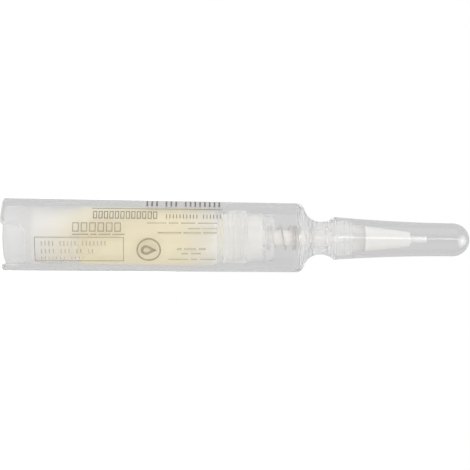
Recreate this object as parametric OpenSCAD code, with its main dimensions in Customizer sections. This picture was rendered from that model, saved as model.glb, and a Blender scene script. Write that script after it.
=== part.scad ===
// Press-type dosing syringe for soldering paste, in millimetres.
// The axis is Z. Z = 0 is the sleeve's rear rim, and the nozzle points up.
// Turned sections are lists of [radius, z] points.

/* [Bottle] */
// Outer radius of the bottle
bottle_r = 9.2; // [8.5:0.1:9.5]
// Wall of the bottle
bottle_wall = 0.95; // [0.7:0.05:1.2]
// Length of the bottle from its rear edge to the end of its neck
bottle_len = 73.4; // [65:0.2:90]
// Length of the bottle's neck
neck_len = 5.8; // [5:0.2:7]
// Wall of the bottle's neck
neck_wall = 1.1; // [0.9:0.05:1.4]
// Length of the slope from the bottle's body to its neck
shoulder_len = 1.6; // [1:0.1:2.5]
// How far the base lies inside the sleeve's rear rim
base_recess = 0.6; // [0.3:0.1:1.5]
// Thickness of the base plug's thumb disc
base_t = 1.2; // [0.9:0.1:1.8]
// Length of the base plug's skirt inside the bottle
base_skirt_len = 4; // [3:0.2:5]
// Radius of the vent in the base plug
vent_r = 0.7; // [0.5:0.1:1]

/* [Contents] */
// Empty room between the bottle's rear edge and the follower piston
rear_room = 7.8; // [6:0.1:9]
// Length of the follower piston without its front lip
follower_len = 13; // [11:0.1:16]
// Wall of the follower piston
follower_wall = 1.1; // [0.9:0.05:1.4]
// Height of the lips at the follower's two ends
lip_len = 1.6; // [1:0.1:2]

/* [Pump] */
// Stroke of the pump
stroke = 5; // [4:0.1:5.2]
// Radius of the cylinder's bore
bore_r = 3; // [2.9:0.05:3.3]
// Wall of the cylinder
cylinder_wall = 0.9; // [0.7:0.05:1]
// Length of the dosing piston
piston_len = 2.75; // [2.4:0.05:3.2]
// Thickness of the gasket
gasket_t = 0.7; // [0.5:0.1:1]
// Thickness of the cylinder's flange
flange_t = 0.9; // [0.8:0.1:1.2]
// Height of the cylinder's head above its flange
head_len = 5.4; // [5:0.1:6.5]
// Length of the bush that closes the cylinder
bush_len = 1.9; // [1.5:0.1:2.4]
// Outer radius of the stem
stem_r = 2.4; // [2.3:0.05:2.5]
// Radius of the stem's channel
stem_bore_r = 1.1; // [0.8:0.05:1.2]
// Thickness of the valve discs
valve_t = 0.6; // [0.4:0.05:0.8]
// How far the valve discs lift
valve_lift = 0.5; // [0.3:0.05:0.6]
// Radius of the inlet valve's disc
valve_r = 1.7; // [1.6:0.05:1.8]

/* [Collar] */
// How far the collar's skirt lies inside the bottle's outer radius
collar_inset = 0.4; // [0.2:0.05:0.5]
// How far the cup in front of the skirt lies inside the skirt's outer radius
cup_step = 0.95; // [0.6:0.05:1.1]
// Wall of the cup
cup_wall = 0.85; // [0.6:0.05:0.95]
// Thickness of the cup's floor
cup_floor_t = 0.8; // [0.6:0.1:1.2]
// Depth of the cup
cup_depth = 3; // [2:0.1:3.2]

/* [Spring] */
// Length of the spring as it stands between the cup and the sleeve
spring_len = 10.9; // [10.5:0.1:13]
// Radius of the coils at the wire's middle
coil_r = 3.9; // [3.5:0.1:4.2]
// Thickness of the wire
wire_d = 0.5; // [0.4:0.05:0.6]
// Pitch of the close turns
close_pitch = 0.75; // [0.65:0.05:0.9]
// Close turns at the rear end
rear_turns = 1.5; // [1:0.5:2]
// Open turns
open_turns = 2.2; // [2:0.1:3]
// Close turns at the front end
front_turns = 2; // [1:0.5:2.5]

/* [Sleeve] */
// Gap round the bottle at the sleeve's rear rim
rear_gap = 0.9; // [0.7:0.05:1.5]
// Gap round the bottle's radius at the sleeve's front corner
front_gap = 0.42; // [0.3:0.02:0.8]
// Wall of the sleeve
sleeve_wall = 1.4; // [1.2:0.05:1.5]
// Thickness of the sleeve's front wall
front_wall = 1.4; // [1.2:0.05:2]
// Radius of the front corner
corner_r = 2.3; // [1.8:0.1:2.8]
// Rounding of the rear rim
rim_round = 0.3; // [0.1:0.05:0.5]
// Depth of the thumb notch
notch_depth = 7.6; // [5:0.2:10]
// Width of the thumb notch
notch_w = 13.6; // [9:0.2:14]
// Radius of the thumb notch's inner corners
notch_corner_r = 3; // [1:0.2:4]
// Turn of the thumb notch from the front side
notch_turn = 22; // [0:1:45]

/* [Waist] */
// Radius of the waist
waist_r = 5.2; // [4.8:0.1:5.6]
// Radius of the hollow curve behind the waist
rear_curve_r = 5.7; // [4.5:0.1:7]
// Radius of the hollow curve in front of the waist
front_curve_r = 6.5; // [5.5:0.1:8]
// Radius of the flange in front of the waist
flange_r = 6.8; // [6.4:0.02:7.2]
// Width of the flange's edge
flange_land = 0.35; // [0.2:0.05:0.8]
// Length of the seat that the cap fits on
seat_len = 5.2; // [4.5:0.1:7]
// Number of beads round the cap's seat
bead_count = 3; // [2:1:4]
// Height of a bead
bead_h = 0.2; // [0.1:0.05:0.3]
// Width of a bead
bead_w = 0.7; // [0.4:0.1:0.9]
// Length of the spigot in the nozzle
spigot_len = 4.3; // [3.5:0.1:6]
// Wall of the nozzle round the spigot
nozzle_wall = 0.9; // [0.7:0.05:1.1]
// Radius of the channel through the seat and the spigot
channel_r = 1; // [0.7:0.05:1.1]

/* [Nozzle] */
// Radius of the nozzle at its base
nozzle_base_r = 4.75; // [4.5:0.05:5]
// Radius of the nozzle at the spigot's end
nozzle_knee_r = 4.02; // [3.8:0.02:4.4]
// Radius of the nozzle at its front
nozzle_tip_r = 2.4; // [2.1:0.05:2.8]
// Length of the nozzle
nozzle_len = 18.8; // [16:0.1:22]
// Width of the nozzle's front chamfer
nozzle_chamfer = 0.4; // [0.2:0.05:0.5]
// Radius of the channel in the nozzle
nozzle_channel_r = 1.3; // [1.1:0.05:1.5]
// Radius of the tube
tube_r = 1.03; // [0.9:0.01:1.2]
// Radius of the tube's channel
tube_bore_r = 0.5; // [0.3:0.05:0.6]
// Length of the tube in front of the nozzle
tube_reach = 5.5; // [4:0.1:8]
// Length of the tube inside the nozzle
tube_seat = 5; // [3:0.1:7]
// Length of the thicker part of the tube
tube_sleeve_len = 1.85; // [1:0.05:2.5]
// Height of the thicker part of the tube
tube_sleeve_h = 0.13; // [0.05:0.01:0.3]

/* [Cap] */
// Length of the cap
cap_len = 43.2; // [40:0.1:55]
// Radius of the cap where its dome starts
dome_r = 5.3; // [4.8:0.05:5.6]
// Height of the dome
dome_len = 5.4; // [5:0.1:8]
// Wall of the cap
cap_wall = 0.92; // [0.8:0.02:1]
// How fast the cap narrows behind its mouth
cap_curve = 1.9; // [1.2:0.05:2.2]

/* [Print] */
// Thickness of the print
ink_t = 0.08; // [0.04:0.01:0.12]
// Where the print starts
print_z = 10.9; // [9:0.1:14]
// Where the print ends
print_end_z = 69.7; // [60:0.1:72]
// How far the rows' start is turned down against their end
print_skew = 3.2; // [0:0.2:5]
// Width of the frame's lines
line_w = 0.3; // [0.2:0.05:0.5]
// Radius of the round mark
mark_r = 3.85; // [3:0.05:4.5]
// Line width of the round mark
mark_w = 0.5; // [0.3:0.05:0.7]

/* [Hidden] */
turn_fn = 96;
// Clearances: between pieces that slide, between pieces pressed together, and beside the paste
slide_fit = 0.05;
press_fit = 0.02;
paste_gap = 0.06;
end_gap = 0.2;
thread_pitch = 1.6;
thread_h = 0.3;
arc_steps = 10;

// Bottle, from its base forwards
base_z = base_recess;
bottle_z = base_z + base_t;
neck_end_z = bottle_z + bottle_len;
neck_z = neck_end_z - neck_len;
shoulder_z = neck_z - shoulder_len;
bottle_in_r = bottle_r - bottle_wall;
collar_r = bottle_r - collar_inset;
cup_r = collar_r - cup_step;
collar_gap = 0.3;
skirt_wall = 1.05;
thread_r = collar_r - skirt_wall - slide_fit;
neck_r = thread_r - thread_h;
neck_in_r = neck_r - neck_wall;
follower_z = bottle_z + rear_room;
follower_front_z = follower_z + follower_len;

// Pump, from the neck's end forwards
flange_z = neck_end_z + gasket_t;
head_z = flange_z + flange_t;
head_end_z = head_z + head_len;
floor_z = head_end_z + press_fit;
cup_z = floor_z + cup_floor_t;
cup_end_z = cup_z + cup_depth;
head_r = cup_r - cup_wall - press_fit;
cylinder_r = bore_r + cylinder_wall;
bush_r = bore_r + cylinder_wall / 2;
bush_z = head_end_z - bush_len;
piston_z = bush_z - slide_fit - piston_len;
bore_z = piston_z - stroke - end_gap;
ledge_t = 0.5;
ledge_r = 1.2;
valve_room_r = valve_r + 0.3;
valve_z = bore_z - ledge_t - valve_lift - valve_t - slide_fit;
inlet_seat_t = 0.9;
inlet_seat_r = bore_r - 0.4;
inlet_r = 0.9;
cylinder_z = valve_z - slide_fit - inlet_seat_t;

// Sleeve, from its front wall forwards
sleeve_rear_r = bottle_r + rear_gap + sleeve_wall;
sleeve_front_r = bottle_r + front_gap + sleeve_wall;
inner_front_z = cup_z + spring_len + 2 * slide_fit;
front_z = inner_front_z + front_wall;
waist_z = front_z + rear_curve_r;
corner_x = sleeve_front_r - corner_r;
rear_curve_x = waist_r + rear_curve_r;
curve_side = max(0, rear_curve_x - corner_x);
curve_reach = corner_r + rear_curve_r;
corner_z = waist_z - sqrt(curve_reach * curve_reach - curve_side * curve_side);
corner_turn = acos(curve_side / curve_reach);
front_curve_x = waist_r + front_curve_r;
flare_turn = acos((front_curve_x - flange_r) / front_curve_r);
flange_edge_z = waist_z + front_curve_r * sin(flare_turn);
seat_z = flange_edge_z + flange_land;
seat_end_z = seat_z + seat_len;
spigot_end_z = seat_end_z + spigot_len;
spigot_r = nozzle_base_r - nozzle_wall - press_fit;
spigot_tip_r = nozzle_knee_r - nozzle_wall - press_fit;
rear_land = notch_depth + 0.4;
stem_end_z = flange_edge_z;
stem_z = piston_z + 1;

// Nozzle and cap
nozzle_end_z = seat_end_z + nozzle_len;
tube_z = nozzle_end_z - tube_seat;
tube_end_z = nozzle_end_z + tube_reach;
outlet_z = spigot_end_z + slide_fit;
outlet_r = channel_r + 0.9;
outlet_room_r = outlet_r + 0.3;
outlet_room_z = outlet_z + valve_t + valve_lift + slide_fit;
cap_z = seat_z + slide_fit;
cap_end_z = cap_z + cap_len;
dome_z = cap_end_z - dome_len;
cap_bore_r = flange_r - cap_wall;
seat_r = cap_bore_r - slide_fit - bead_h;

// Outer radius of the sleeve at height z
function sleeve_r(z) = z < rear_land ? sleeve_rear_r
    : sleeve_rear_r + (sleeve_front_r - sleeve_rear_r) * (z - rear_land) / (corner_z - rear_land);
// Outer radius of the cap at height z, before its dome
function cap_r(z) = dome_r + (flange_r - dome_r) * pow(max(0, (dome_z - z) / (dome_z - cap_z)), cap_curve);
// Points on an arc about c
function arc(c, r, from, to, steps = arc_steps) =
    [for (i = [0:steps]) c + r * [cos(from + (to - from) * i / steps), sin(from + (to - from) * i / steps)]];
// Points on a quarter ellipse from radius a at z = from to the axis, b higher, or back
function dome(a, b, from, back = false, steps = 16) =
    [for (i = [0:steps]) let (t = (back ? steps - i : i) / steps * 90) [a * cos(t), from + b * sin(t)]];
// Beads of height h and width w on a wall of radius r, one at each z
function beads(r, h, w, places) =
    [for (z = places) each [[r, z - w / 2], [r + h, z - w / 4], [r + h, z + w / 4], [r, z + w / 2]]];

module turned(points) rotate_extrude($fn = turn_fn) polygon(points);
module ring(outer, inner, from, to) turned([[inner, from], [outer, from], [outer, to], [inner, to]]);
module disc(radius, from, to) translate([0, 0, from]) cylinder(r = radius, h = to - from, $fn = turn_fn);

// Outer sleeve

module sleeve_section() {
    wall_end_z = corner_z;
    inner_corner_r = corner_r / 2;
    inner_end_r = sleeve_r(inner_front_z - inner_corner_r) - sleeve_wall;
    bead_pitch = seat_len / (bead_count + 0.5);
    bead_places = [for (i = [1:bead_count]) seat_z + (i - 0.1) * bead_pitch];
    polygon(concat(
        arc([sleeve_rear_r - rim_round, rim_round], rim_round, -90, 0),
        [[sleeve_rear_r, rear_land]],
        arc([corner_x, wall_end_z], corner_r, 0, corner_turn),
        arc([rear_curve_x, waist_z], rear_curve_r, 180 + corner_turn, 180),
        arc([front_curve_x, waist_z], front_curve_r, 180, 180 - flare_turn),
        [[flange_r, seat_z], [seat_r, seat_z]],
        beads(seat_r, bead_h, bead_w, bead_places),
        [[seat_r, seat_end_z], [spigot_r, seat_end_z], [spigot_tip_r, spigot_end_z]],
        [[channel_r, spigot_end_z], [channel_r, stem_end_z]],
        [[stem_r + press_fit, stem_end_z], [stem_r + press_fit, inner_front_z]],
        arc([inner_end_r - inner_corner_r, inner_front_z - inner_corner_r], inner_corner_r, 90, 0),
        [[sleeve_rear_r - sleeve_wall, rear_land]],
        arc([sleeve_rear_r - sleeve_wall + rim_round, rim_round], rim_round, 180, 270)
    ));
}

module notch_outline() {
    side = notch_w / 2 - notch_corner_r;
    for (x = [-side, side]) translate([x, notch_depth - notch_corner_r]) circle(r = notch_corner_r, $fn = 48);
    translate([-notch_w / 2, -1]) square([notch_w, notch_depth - notch_corner_r + 1]);
    translate([-side, 0]) square([2 * side, notch_depth]);
}

module outer_sleeve() color([0.86, 0.87, 0.87, 0.35]) difference() {
    rotate_extrude($fn = turn_fn) sleeve_section();
    rotate([0, 0, notch_turn]) translate([0, -bottle_in_r / 2, 0]) rotate([90, 0, 0])
        linear_extrude(height = sleeve_rear_r) notch_outline();
}

// Cap

module cap() color([0.86, 0.87, 0.87, 0.35]) {
    grip_end_z = seat_end_z + slide_fit;
    steps = 16;
    outer = [for (i = [0:steps]) let (z = cap_z + (dome_z - cap_z) * i / steps) [cap_r(z), z]];
    inner = [for (i = [steps:-1:0]) let (z = grip_end_z + (dome_z - grip_end_z) * i / steps)
        [cap_r(z) - cap_wall, z]];
    turned(concat(
        [[cap_bore_r, cap_z]], outer,
        dome(dome_r, dome_len, dome_z), dome(dome_r - cap_wall, dome_len - cap_wall, dome_z, true), inner,
        [[cap_bore_r, grip_end_z]]
    ));
}

// Nozzle

module nozzle() color([0.93, 0.92, 0.89]) turned([
    [spigot_r + press_fit, seat_end_z], [nozzle_base_r, seat_end_z], [nozzle_knee_r, spigot_end_z],
    [nozzle_tip_r, nozzle_end_z - nozzle_chamfer], [nozzle_tip_r - nozzle_chamfer, nozzle_end_z],
    [tube_r + press_fit, nozzle_end_z], [tube_r + press_fit, tube_z], [nozzle_channel_r, tube_z],
    [nozzle_channel_r, outlet_room_z], [outlet_room_r, outlet_room_z], [outlet_room_r, spigot_end_z],
    [spigot_tip_r + press_fit, spigot_end_z]
]);

module nozzle_tube() color([0.92, 0.92, 0.9]) {
    round_r = (tube_r - tube_bore_r) * 0.6;
    turned(concat(
        [[tube_bore_r, tube_z], [tube_r, tube_z], [tube_r, nozzle_end_z]],
        [[tube_r + tube_sleeve_h, nozzle_end_z], [tube_r + tube_sleeve_h, nozzle_end_z + tube_sleeve_len]],
        [[tube_r, nozzle_end_z + tube_sleeve_len]],
        arc([tube_r - round_r, tube_end_z - round_r], round_r, 0, 90, 6),
        [[tube_bore_r, tube_end_z]]
    ));
}

module outlet_valve() color([0.85, 0.85, 0.83]) disc(outlet_r, outlet_z, outlet_z + valve_t);

// Pump, fixed to the sleeve

module stem() color([0.87, 0.84, 0.74]) ring(stem_r, stem_bore_r, stem_z, stem_end_z);

module dosing_piston() color([0.9, 0.9, 0.88]) {
    lip = 0.7;
    waist = bore_r - 0.3;
    end_z = piston_z + piston_len;
    turned([
        [stem_bore_r, piston_z], [bore_r - slide_fit, piston_z], [bore_r - slide_fit, piston_z + lip],
        [waist, piston_z + lip + 0.2], [waist, end_z - lip - 0.2], [bore_r - slide_fit, end_z - lip],
        [bore_r - slide_fit, end_z], [stem_r, end_z], [stem_r, stem_z], [stem_bore_r, stem_z]
    ]);
}

// Height of the wire's middle after a number of turns: close ends with an even open stretch between
open_pitch = (spring_len - wire_d - (rear_turns + front_turns) * close_pitch) / open_turns;
spring_turns = rear_turns + open_turns + front_turns;
function wire_z(turns) = cup_z + slide_fit + wire_d / 2 + close_pitch * min(turns, rear_turns)
    + open_pitch * min(max(turns - rear_turns, 0), open_turns)
    + close_pitch * max(turns - rear_turns - open_turns, 0);

module return_spring() color([0.55, 0.54, 0.52]) {
    sides = 8;
    per_turn = 28;
    rings = round(spring_turns * per_turn);
    points = [for (i = [0:rings], k = [0:sides - 1])
        let (turns = i / per_turn, a = 360 * turns, b = 360 * k / sides, r = coil_r + wire_d / 2 * cos(b))
        [r * cos(a), r * sin(a), wire_z(turns) + wire_d / 2 * sin(b)]];
    around = [for (i = [0:rings - 1], k = [0:sides - 1])
        let (n = (k + 1) % sides) [i * sides + k, (i + 1) * sides + k, (i + 1) * sides + n, i * sides + n]];
    first = [for (k = [0:sides - 1]) k];
    last = [for (k = [sides - 1:-1:0]) rings * sides + k];
    polyhedron(points, concat([first], around, [last]), convexity = 10);
}

// Bottle and its pump, which move when the base is pressed

module bottle() color([0.88, 0.88, 0.87, 0.6]) {
    first_z = neck_z + 1.6;
    places = [for (i = [0:2]) first_z + i * thread_pitch];
    round_r = bottle_wall * 0.9;
    turned(concat(
        [[bottle_in_r, bottle_z], [bottle_r, bottle_z]],
        arc([bottle_r - round_r, shoulder_z - round_r], round_r, 0, 90, 6),
        [[neck_r, neck_z - 0.2], [neck_r, neck_z]],
        beads(neck_r, thread_h, 0.8, places),
        [[neck_r, neck_end_z], [neck_in_r, neck_end_z], [neck_in_r, neck_z],
            [bottle_in_r, shoulder_z - bottle_wall]]
    ));
}

module base_plug() color([0.9, 0.9, 0.89, 0.7]) {
    skirt_r = bottle_in_r - press_fit;
    edge_r = base_t * 0.75;
    dish = base_t * 0.25;
    dish_r = bottle_r * 0.7;
    turned(concat(
        [[vent_r, base_z + dish], [dish_r * 0.6, base_z + dish * 0.7], [dish_r, base_z]],
        arc([bottle_r - edge_r, base_z + edge_r], edge_r, -90, 0, 6),
        [[bottle_r, bottle_z], [skirt_r, bottle_z], [skirt_r, bottle_z + base_skirt_len]],
        [[skirt_r - bottle_wall, bottle_z + base_skirt_len], [skirt_r - bottle_wall, bottle_z]],
        [[vent_r, bottle_z]]
    ));
}

follower_r = bottle_in_r - slide_fit;
lip_wall = 0.7;

module follower_piston() color([0.92, 0.9, 0.87]) {
    skirt_r = follower_r - 0.35;
    turned([
        [follower_r - lip_wall, follower_z], [follower_r, follower_z], [follower_r, follower_z + lip_len],
        [skirt_r, follower_z + lip_len + 0.4], [skirt_r, follower_front_z - 0.4], [follower_r, follower_front_z],
        [follower_r, follower_front_z + lip_len], [follower_r - lip_wall, follower_front_z + lip_len],
        [follower_r - lip_wall, follower_front_z], [0, follower_front_z],
        [0, follower_front_z - follower_wall], [skirt_r - follower_wall, follower_front_z - follower_wall],
        [skirt_r - follower_wall, follower_z + lip_len]
    ]);
}

module flux_paste() color([0.91, 0.87, 0.68]) {
    wall_r = bottle_in_r - paste_gap;
    face_r = follower_r - lip_wall - paste_gap;
    lip_z = follower_front_z + lip_len + paste_gap;
    neck_fill_r = neck_in_r - paste_gap;
    front = cylinder_z - paste_gap;
    slope_z = shoulder_z - bottle_wall - paste_gap;
    turned([
        [0, follower_front_z + paste_gap], [face_r, follower_front_z + paste_gap], [face_r, lip_z],
        [wall_r, lip_z], [wall_r, slope_z], [neck_fill_r, neck_z - paste_gap], [neck_fill_r, front], [0, front]
    ]);
}

module closure_collar() color([0.9, 0.9, 0.89, 0.6]) {
    skirt_z = neck_z + collar_gap;
    clamp_z = head_z + press_fit;
    step_z = clamp_z + 0.6;
    bore = cup_r - cup_wall;
    turned([
        [thread_r + slide_fit, skirt_z], [collar_r, skirt_z], [collar_r, step_z - 0.3], [collar_r - 0.3, step_z],
        [cup_r, step_z], [cup_r - 0.25, cup_end_z], [bore - 0.2, cup_end_z], [bore - 0.2, cup_z],
        [stem_r + 2 * slide_fit, cup_z], [stem_r + 2 * slide_fit, floor_z], [bore, floor_z], [bore, clamp_z],
        [thread_r + slide_fit, clamp_z]
    ]);
}

module pump_cylinder() color([0.93, 0.92, 0.9]) {
    flange_r = thread_r - press_fit;
    turned([
        [inlet_seat_r + press_fit, cylinder_z], [cylinder_r, cylinder_z], [cylinder_r, flange_z],
        [flange_r, flange_z], [flange_r, head_z], [head_r, head_z], [head_r, head_end_z],
        [head_r - cylinder_wall, head_end_z], [head_r - cylinder_wall, head_z], [cylinder_r, head_z],
        [cylinder_r, head_end_z], [bush_r + press_fit, head_end_z], [bush_r + press_fit, bush_z],
        [bore_r, bush_z], [bore_r, bore_z], [ledge_r, bore_z], [ledge_r, bore_z - ledge_t],
        [valve_room_r, bore_z - ledge_t], [valve_room_r, cylinder_z + inlet_seat_t],
        [inlet_seat_r + press_fit, cylinder_z + inlet_seat_t]
    ]);
}

module piston_bush() color([0.88, 0.88, 0.87]) ring(bush_r, stem_r + slide_fit, bush_z, head_end_z);

module gasket() color([0.85, 0.85, 0.83]) ring(neck_r, cylinder_r + press_fit, neck_end_z, flange_z);

module inlet_seat() color([0.9, 0.9, 0.88]) ring(inlet_seat_r, inlet_r, cylinder_z, cylinder_z + inlet_seat_t);

module inlet_valve() color([0.85, 0.85, 0.83]) disc(valve_r, valve_z, valve_z + valve_t);

// Print on the sleeve. A place on it is a height z and a turn about the axis from the front side.

// A row's turn at height z
function skewed(turn, z) = turn + print_skew * (print_end_z - z) / (print_end_z - print_z);

// A bar from z = from to z = to, centred at a turn, and high measured round the sleeve
module bar(from, to, turn, high) {
    angle = high / sleeve_r(from) * 180 / PI;
    first_turn = skewed(turn, (from + to) / 2) - 90 - angle / 2;
    rotate([0, 0, first_turn]) rotate_extrude(angle = angle, $fn = turn_fn) polygon([
        [sleeve_r(from), from], [sleeve_r(from) + ink_t, from], [sleeve_r(to) + ink_t, to], [sleeve_r(to), to]
    ]);
}

// A row of words, each a number of blocks, spread evenly between two heights
module row(from, to, turn, high, words, fill = 0.75) {
    total = len(words) - 1 + [for (w = words) 1] * words;
    pitch = (to - from) / total;
    for (i = [0:len(words) - 1], k = [0:words[i] - 1]) {
        before = i + (i > 0 ? [for (j = [0:i - 1]) 1] * [for (j = [0:i - 1]) words[j]] : 0);
        start = from + (before + k) * pitch;
        bar(start, start + pitch * fill, turn, high);
    }
}

// A row of solid dashes, one for each word
module dashes(from, to, turn, high, words) {
    total = len(words) - 1 + [for (w = words) 1] * words;
    pitch = (to - from) / total;
    for (i = [0:len(words) - 1]) {
        before = i + (i > 0 ? [for (j = [0:i - 1]) 1] * [for (j = [0:i - 1]) words[j]] : 0);
        bar(from + before * pitch, from + (before + words[i]) * pitch, turn, high);
    }
}

// A rectangle drawn with lines, between two heights and two turns
module outline(from, to, turn_a, turn_b, line) {
    middle_z = (from + to) / 2;
    size = [2 * sleeve_r(middle_z) * sin((turn_b - turn_a) / 2), to - from];
    wrapped(middle_z, (turn_a + turn_b) / 2, size[1] / 2 + line) difference() {
        square(size, center = true);
        square([size[0] - 2 * line, size[1] - 2 * line], center = true);
    }
}

// A flat shape wrapped on the sleeve round a place
module wrapped(z, turn, reach) intersection() {
    rotate_extrude($fn = turn_fn) polygon([
        [sleeve_r(z - reach), z - reach], [sleeve_r(z - reach) + ink_t, z - reach],
        [sleeve_r(z + reach) + ink_t, z + reach], [sleeve_r(z + reach), z + reach]
    ]);
    rotate([0, 0, skewed(turn, z)]) translate([0, 0, z]) rotate([90, 0, 0])
        linear_extrude(height = sleeve_rear_r * 2) children();
}

module drop_shape(r) {
    circle(r = r, $fn = 48);
    polygon([[r * cos(60), r * sin(60)], [r * cos(60), -r * sin(60)], [2.1 * r, 0]]);
}

module printed_marks() {
    span = print_end_z - print_z;
    box_end_z = print_z + span * 0.473;
    mark_z = print_z + span * 0.605;
    color([0.2, 0.17, 0.14]) {
        // Upper rows
        row(print_z + span * 0.587, print_end_z, -68, 4.6, [3, 3, 8], 0.8);
        bar(print_z + span * 0.3, print_end_z, -49.4, 0.4);
        row(print_z + span * 0.307, print_z + span * 0.655, -35.2, 2.9, [12], 0.8);
        row(print_z + span * 0.695, print_end_z, -32, 1.7, [10, 6], 0.55);
    }
    color([0.35, 0.27, 0.18]) {
        // Large row of open blocks over a row of dashes
        large_pitch = span * 0.267 / 6;
        for (i = [0:5]) {
            large_z = print_z + span * 0.2 + i * large_pitch;
            outline(large_z, large_z + large_pitch * 0.8, -21.5, -7, line_w * 1.6);
        }
        dashes(print_z + span * 0.2, print_z + span * 0.477, -1.6, 0.45, [8, 3, 6, 6]);
        // Framed box with three rows
        outline(print_z, box_end_z, 4.2, 45.8, line_w);
        row(print_z + 2, print_z + span * 0.39, 13.9, 1.3, [4, 5, 7], 0.6);
        row(print_z + 2, print_z + span * 0.325, 27.7, 1.3, [4, 3, 2, 2], 0.6);
        row(print_z + 2, print_z + span * 0.273, 39.6, 1.1, [7, 4], 0.6);
    }
    color([0.3, 0.25, 0.2]) {
        // Round mark
        wrapped(mark_z, 21.8, mark_r * 1.1) difference() {
            circle(r = mark_r, $fn = 96);
            circle(r = mark_r - mark_w, $fn = 96);
        }
        wrapped(mark_z, 21.8, mark_r * 1.1) translate([0, -mark_r * 0.22]) rotate([0, 0, 90])
            drop_shape(mark_r * 0.42);
    }
    color([0.55, 0.47, 0.33]) {
        // Small rows
        dashes(print_z + span * 0.594, print_z + span * 0.966, -22.4, 0.7, [8, 4, 6, 8]);
        dashes(print_z + span * 0.812, print_z + span * 0.966, -13.2, 0.5, [5, 6]);
        dashes(print_z + span * 0.652, print_z + span * 0.966, -6.5, 0.5, [12, 9, 7]);
        dashes(print_z + span * 0.754, print_z + span * 0.908, 21.7, 0.5, [2, 5, 3]);
        dashes(print_z + span * 0.78, print_z + span * 0.882, 29.6, 0.45, [2, 3]);
        dashes(print_z + span * 0.708, print_z + span * 0.96, 40.9, 0.45, [9, 3, 7]);
    }
}

outer_sleeve();
cap();
nozzle();
nozzle_tube();
outlet_valve();
stem();
dosing_piston();
return_spring();
bottle();
base_plug();
follower_piston();
flux_paste();
closure_collar();
pump_cylinder();
piston_bush();
gasket();
inlet_seat();
inlet_valve();
printed_marks();
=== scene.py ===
"""Dresses the solder paste syringe: clear sleeve and cap, frosted bottle, paste, pump and print.

The axis is Z, and z = 0 is the sleeve's rear rim. A turn is measured about the axis from -Y towards +X.
"""

import math
from types import SimpleNamespace

import bmesh
import bpy
import numpy as np
from bpy.props import FloatProperty, FloatVectorProperty, IntProperty, PointerProperty
from bpy.types import Operator, Panel, PropertyGroup
from mathutils import Matrix, Vector


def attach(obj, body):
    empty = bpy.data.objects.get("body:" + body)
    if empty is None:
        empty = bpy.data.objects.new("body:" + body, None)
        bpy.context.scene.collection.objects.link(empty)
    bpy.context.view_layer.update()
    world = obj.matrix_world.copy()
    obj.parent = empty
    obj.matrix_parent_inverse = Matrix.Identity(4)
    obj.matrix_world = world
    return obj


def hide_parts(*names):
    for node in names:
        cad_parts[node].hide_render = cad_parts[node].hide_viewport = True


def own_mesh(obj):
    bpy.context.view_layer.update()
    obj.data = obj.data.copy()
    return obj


bl_info = {
    "name": "Solder paste syringe",
    "version": (1, 0, 0),
    "blender": (4, 5, 0),
    "location": "View3D > Sidebar > Syringe",
    "description": "Makes the pieces, finishes and stage of a press-type paste syringe",
    "category": "Object",
}

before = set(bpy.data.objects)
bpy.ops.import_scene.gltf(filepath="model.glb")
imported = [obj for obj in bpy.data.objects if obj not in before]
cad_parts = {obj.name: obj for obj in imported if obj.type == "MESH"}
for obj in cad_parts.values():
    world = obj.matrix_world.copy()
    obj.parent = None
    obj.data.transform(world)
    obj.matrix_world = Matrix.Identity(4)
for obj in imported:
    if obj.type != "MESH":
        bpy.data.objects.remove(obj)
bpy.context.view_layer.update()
MM = 0.001

# Clearances between pieces that slide, between pieces pressed together, and beside the paste
SLIDE = 0.05 * MM
PRESS = 0.02 * MM
PASTE_GAP = 0.06 * MM

# Points closer than this are welded
WELD = 2e-7

# Each piece's CAD node, body and material slot
PIECES = {
    "sleeve": ("outer_sleeve", "sleeve", "clear_plastic"),
    "cap_shell": ("cap", "cap", "clear_plastic"),
    "nozzle_cone": ("nozzle", "sleeve", "white_plastic"),
    "tip_tube": ("nozzle_tube", "sleeve", "white_plastic"),
    "bottle_shell": ("bottle", "bottle", "frosted_plastic"),
    "thumb_base": ("base_plug", "bottle", "frosted_plastic"),
    "follower": ("follower_piston", "follower", "natural_plastic"),
    "paste_fill": ("flux_paste", "bottle", "paste"),
    "collar": ("closure_collar", "bottle", "frosted_plastic"),
    "cylinder": ("pump_cylinder", "bottle", "natural_plastic"),
    "bush": ("piston_bush", "bottle", "natural_plastic"),
    "gasket_ring": ("gasket", "bottle", "soft_seal"),
    "stem_rod": ("stem", "sleeve", "natural_plastic"),
    "piston": ("dosing_piston", "sleeve", "natural_plastic"),
    "spring": ("return_spring", "sleeve", "spring_steel"),
    "print_dark": ("printed_marks", "sleeve", "ink"),
    "print_brown": ("printed_marks", "sleeve", "ink"),
    "print_pale": ("printed_marks", "sleeve", "ink"),
    "print_mark": ("printed_marks", "sleeve", "ink"),
    "print_gold": ("printed_marks", "sleeve", "ink"),
}

# Finishes of the small CAD pieces that stay as they are
HIDDEN = {"outlet_valve": "seal", "inlet_seat": "pump", "inlet_valve": "seal"}


# Sizes and colours that a user would change

def length(name, millimetres, description):
    """A length property whose default is given in millimetres."""
    return FloatProperty(name=name, description=description, default=millimetres * MM, min=0,
                         precision=5, unit="LENGTH")


def turn(name, degrees, description):
    """An angle property whose default is given in degrees."""
    return FloatProperty(name=name, description=description, default=math.radians(degrees),
                         subtype="ANGLE")


def colour(name, value, description):
    """A colour property with a linear default."""
    return FloatVectorProperty(name=name, description=description, default=value, size=3, min=0,
                               max=1, subtype="COLOR")


def share(name, value, description, most=1):
    """A plain number between 0 and most."""
    return FloatProperty(name=name, description=description, default=value, min=0, max=most,
                         subtype="FACTOR")


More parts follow.
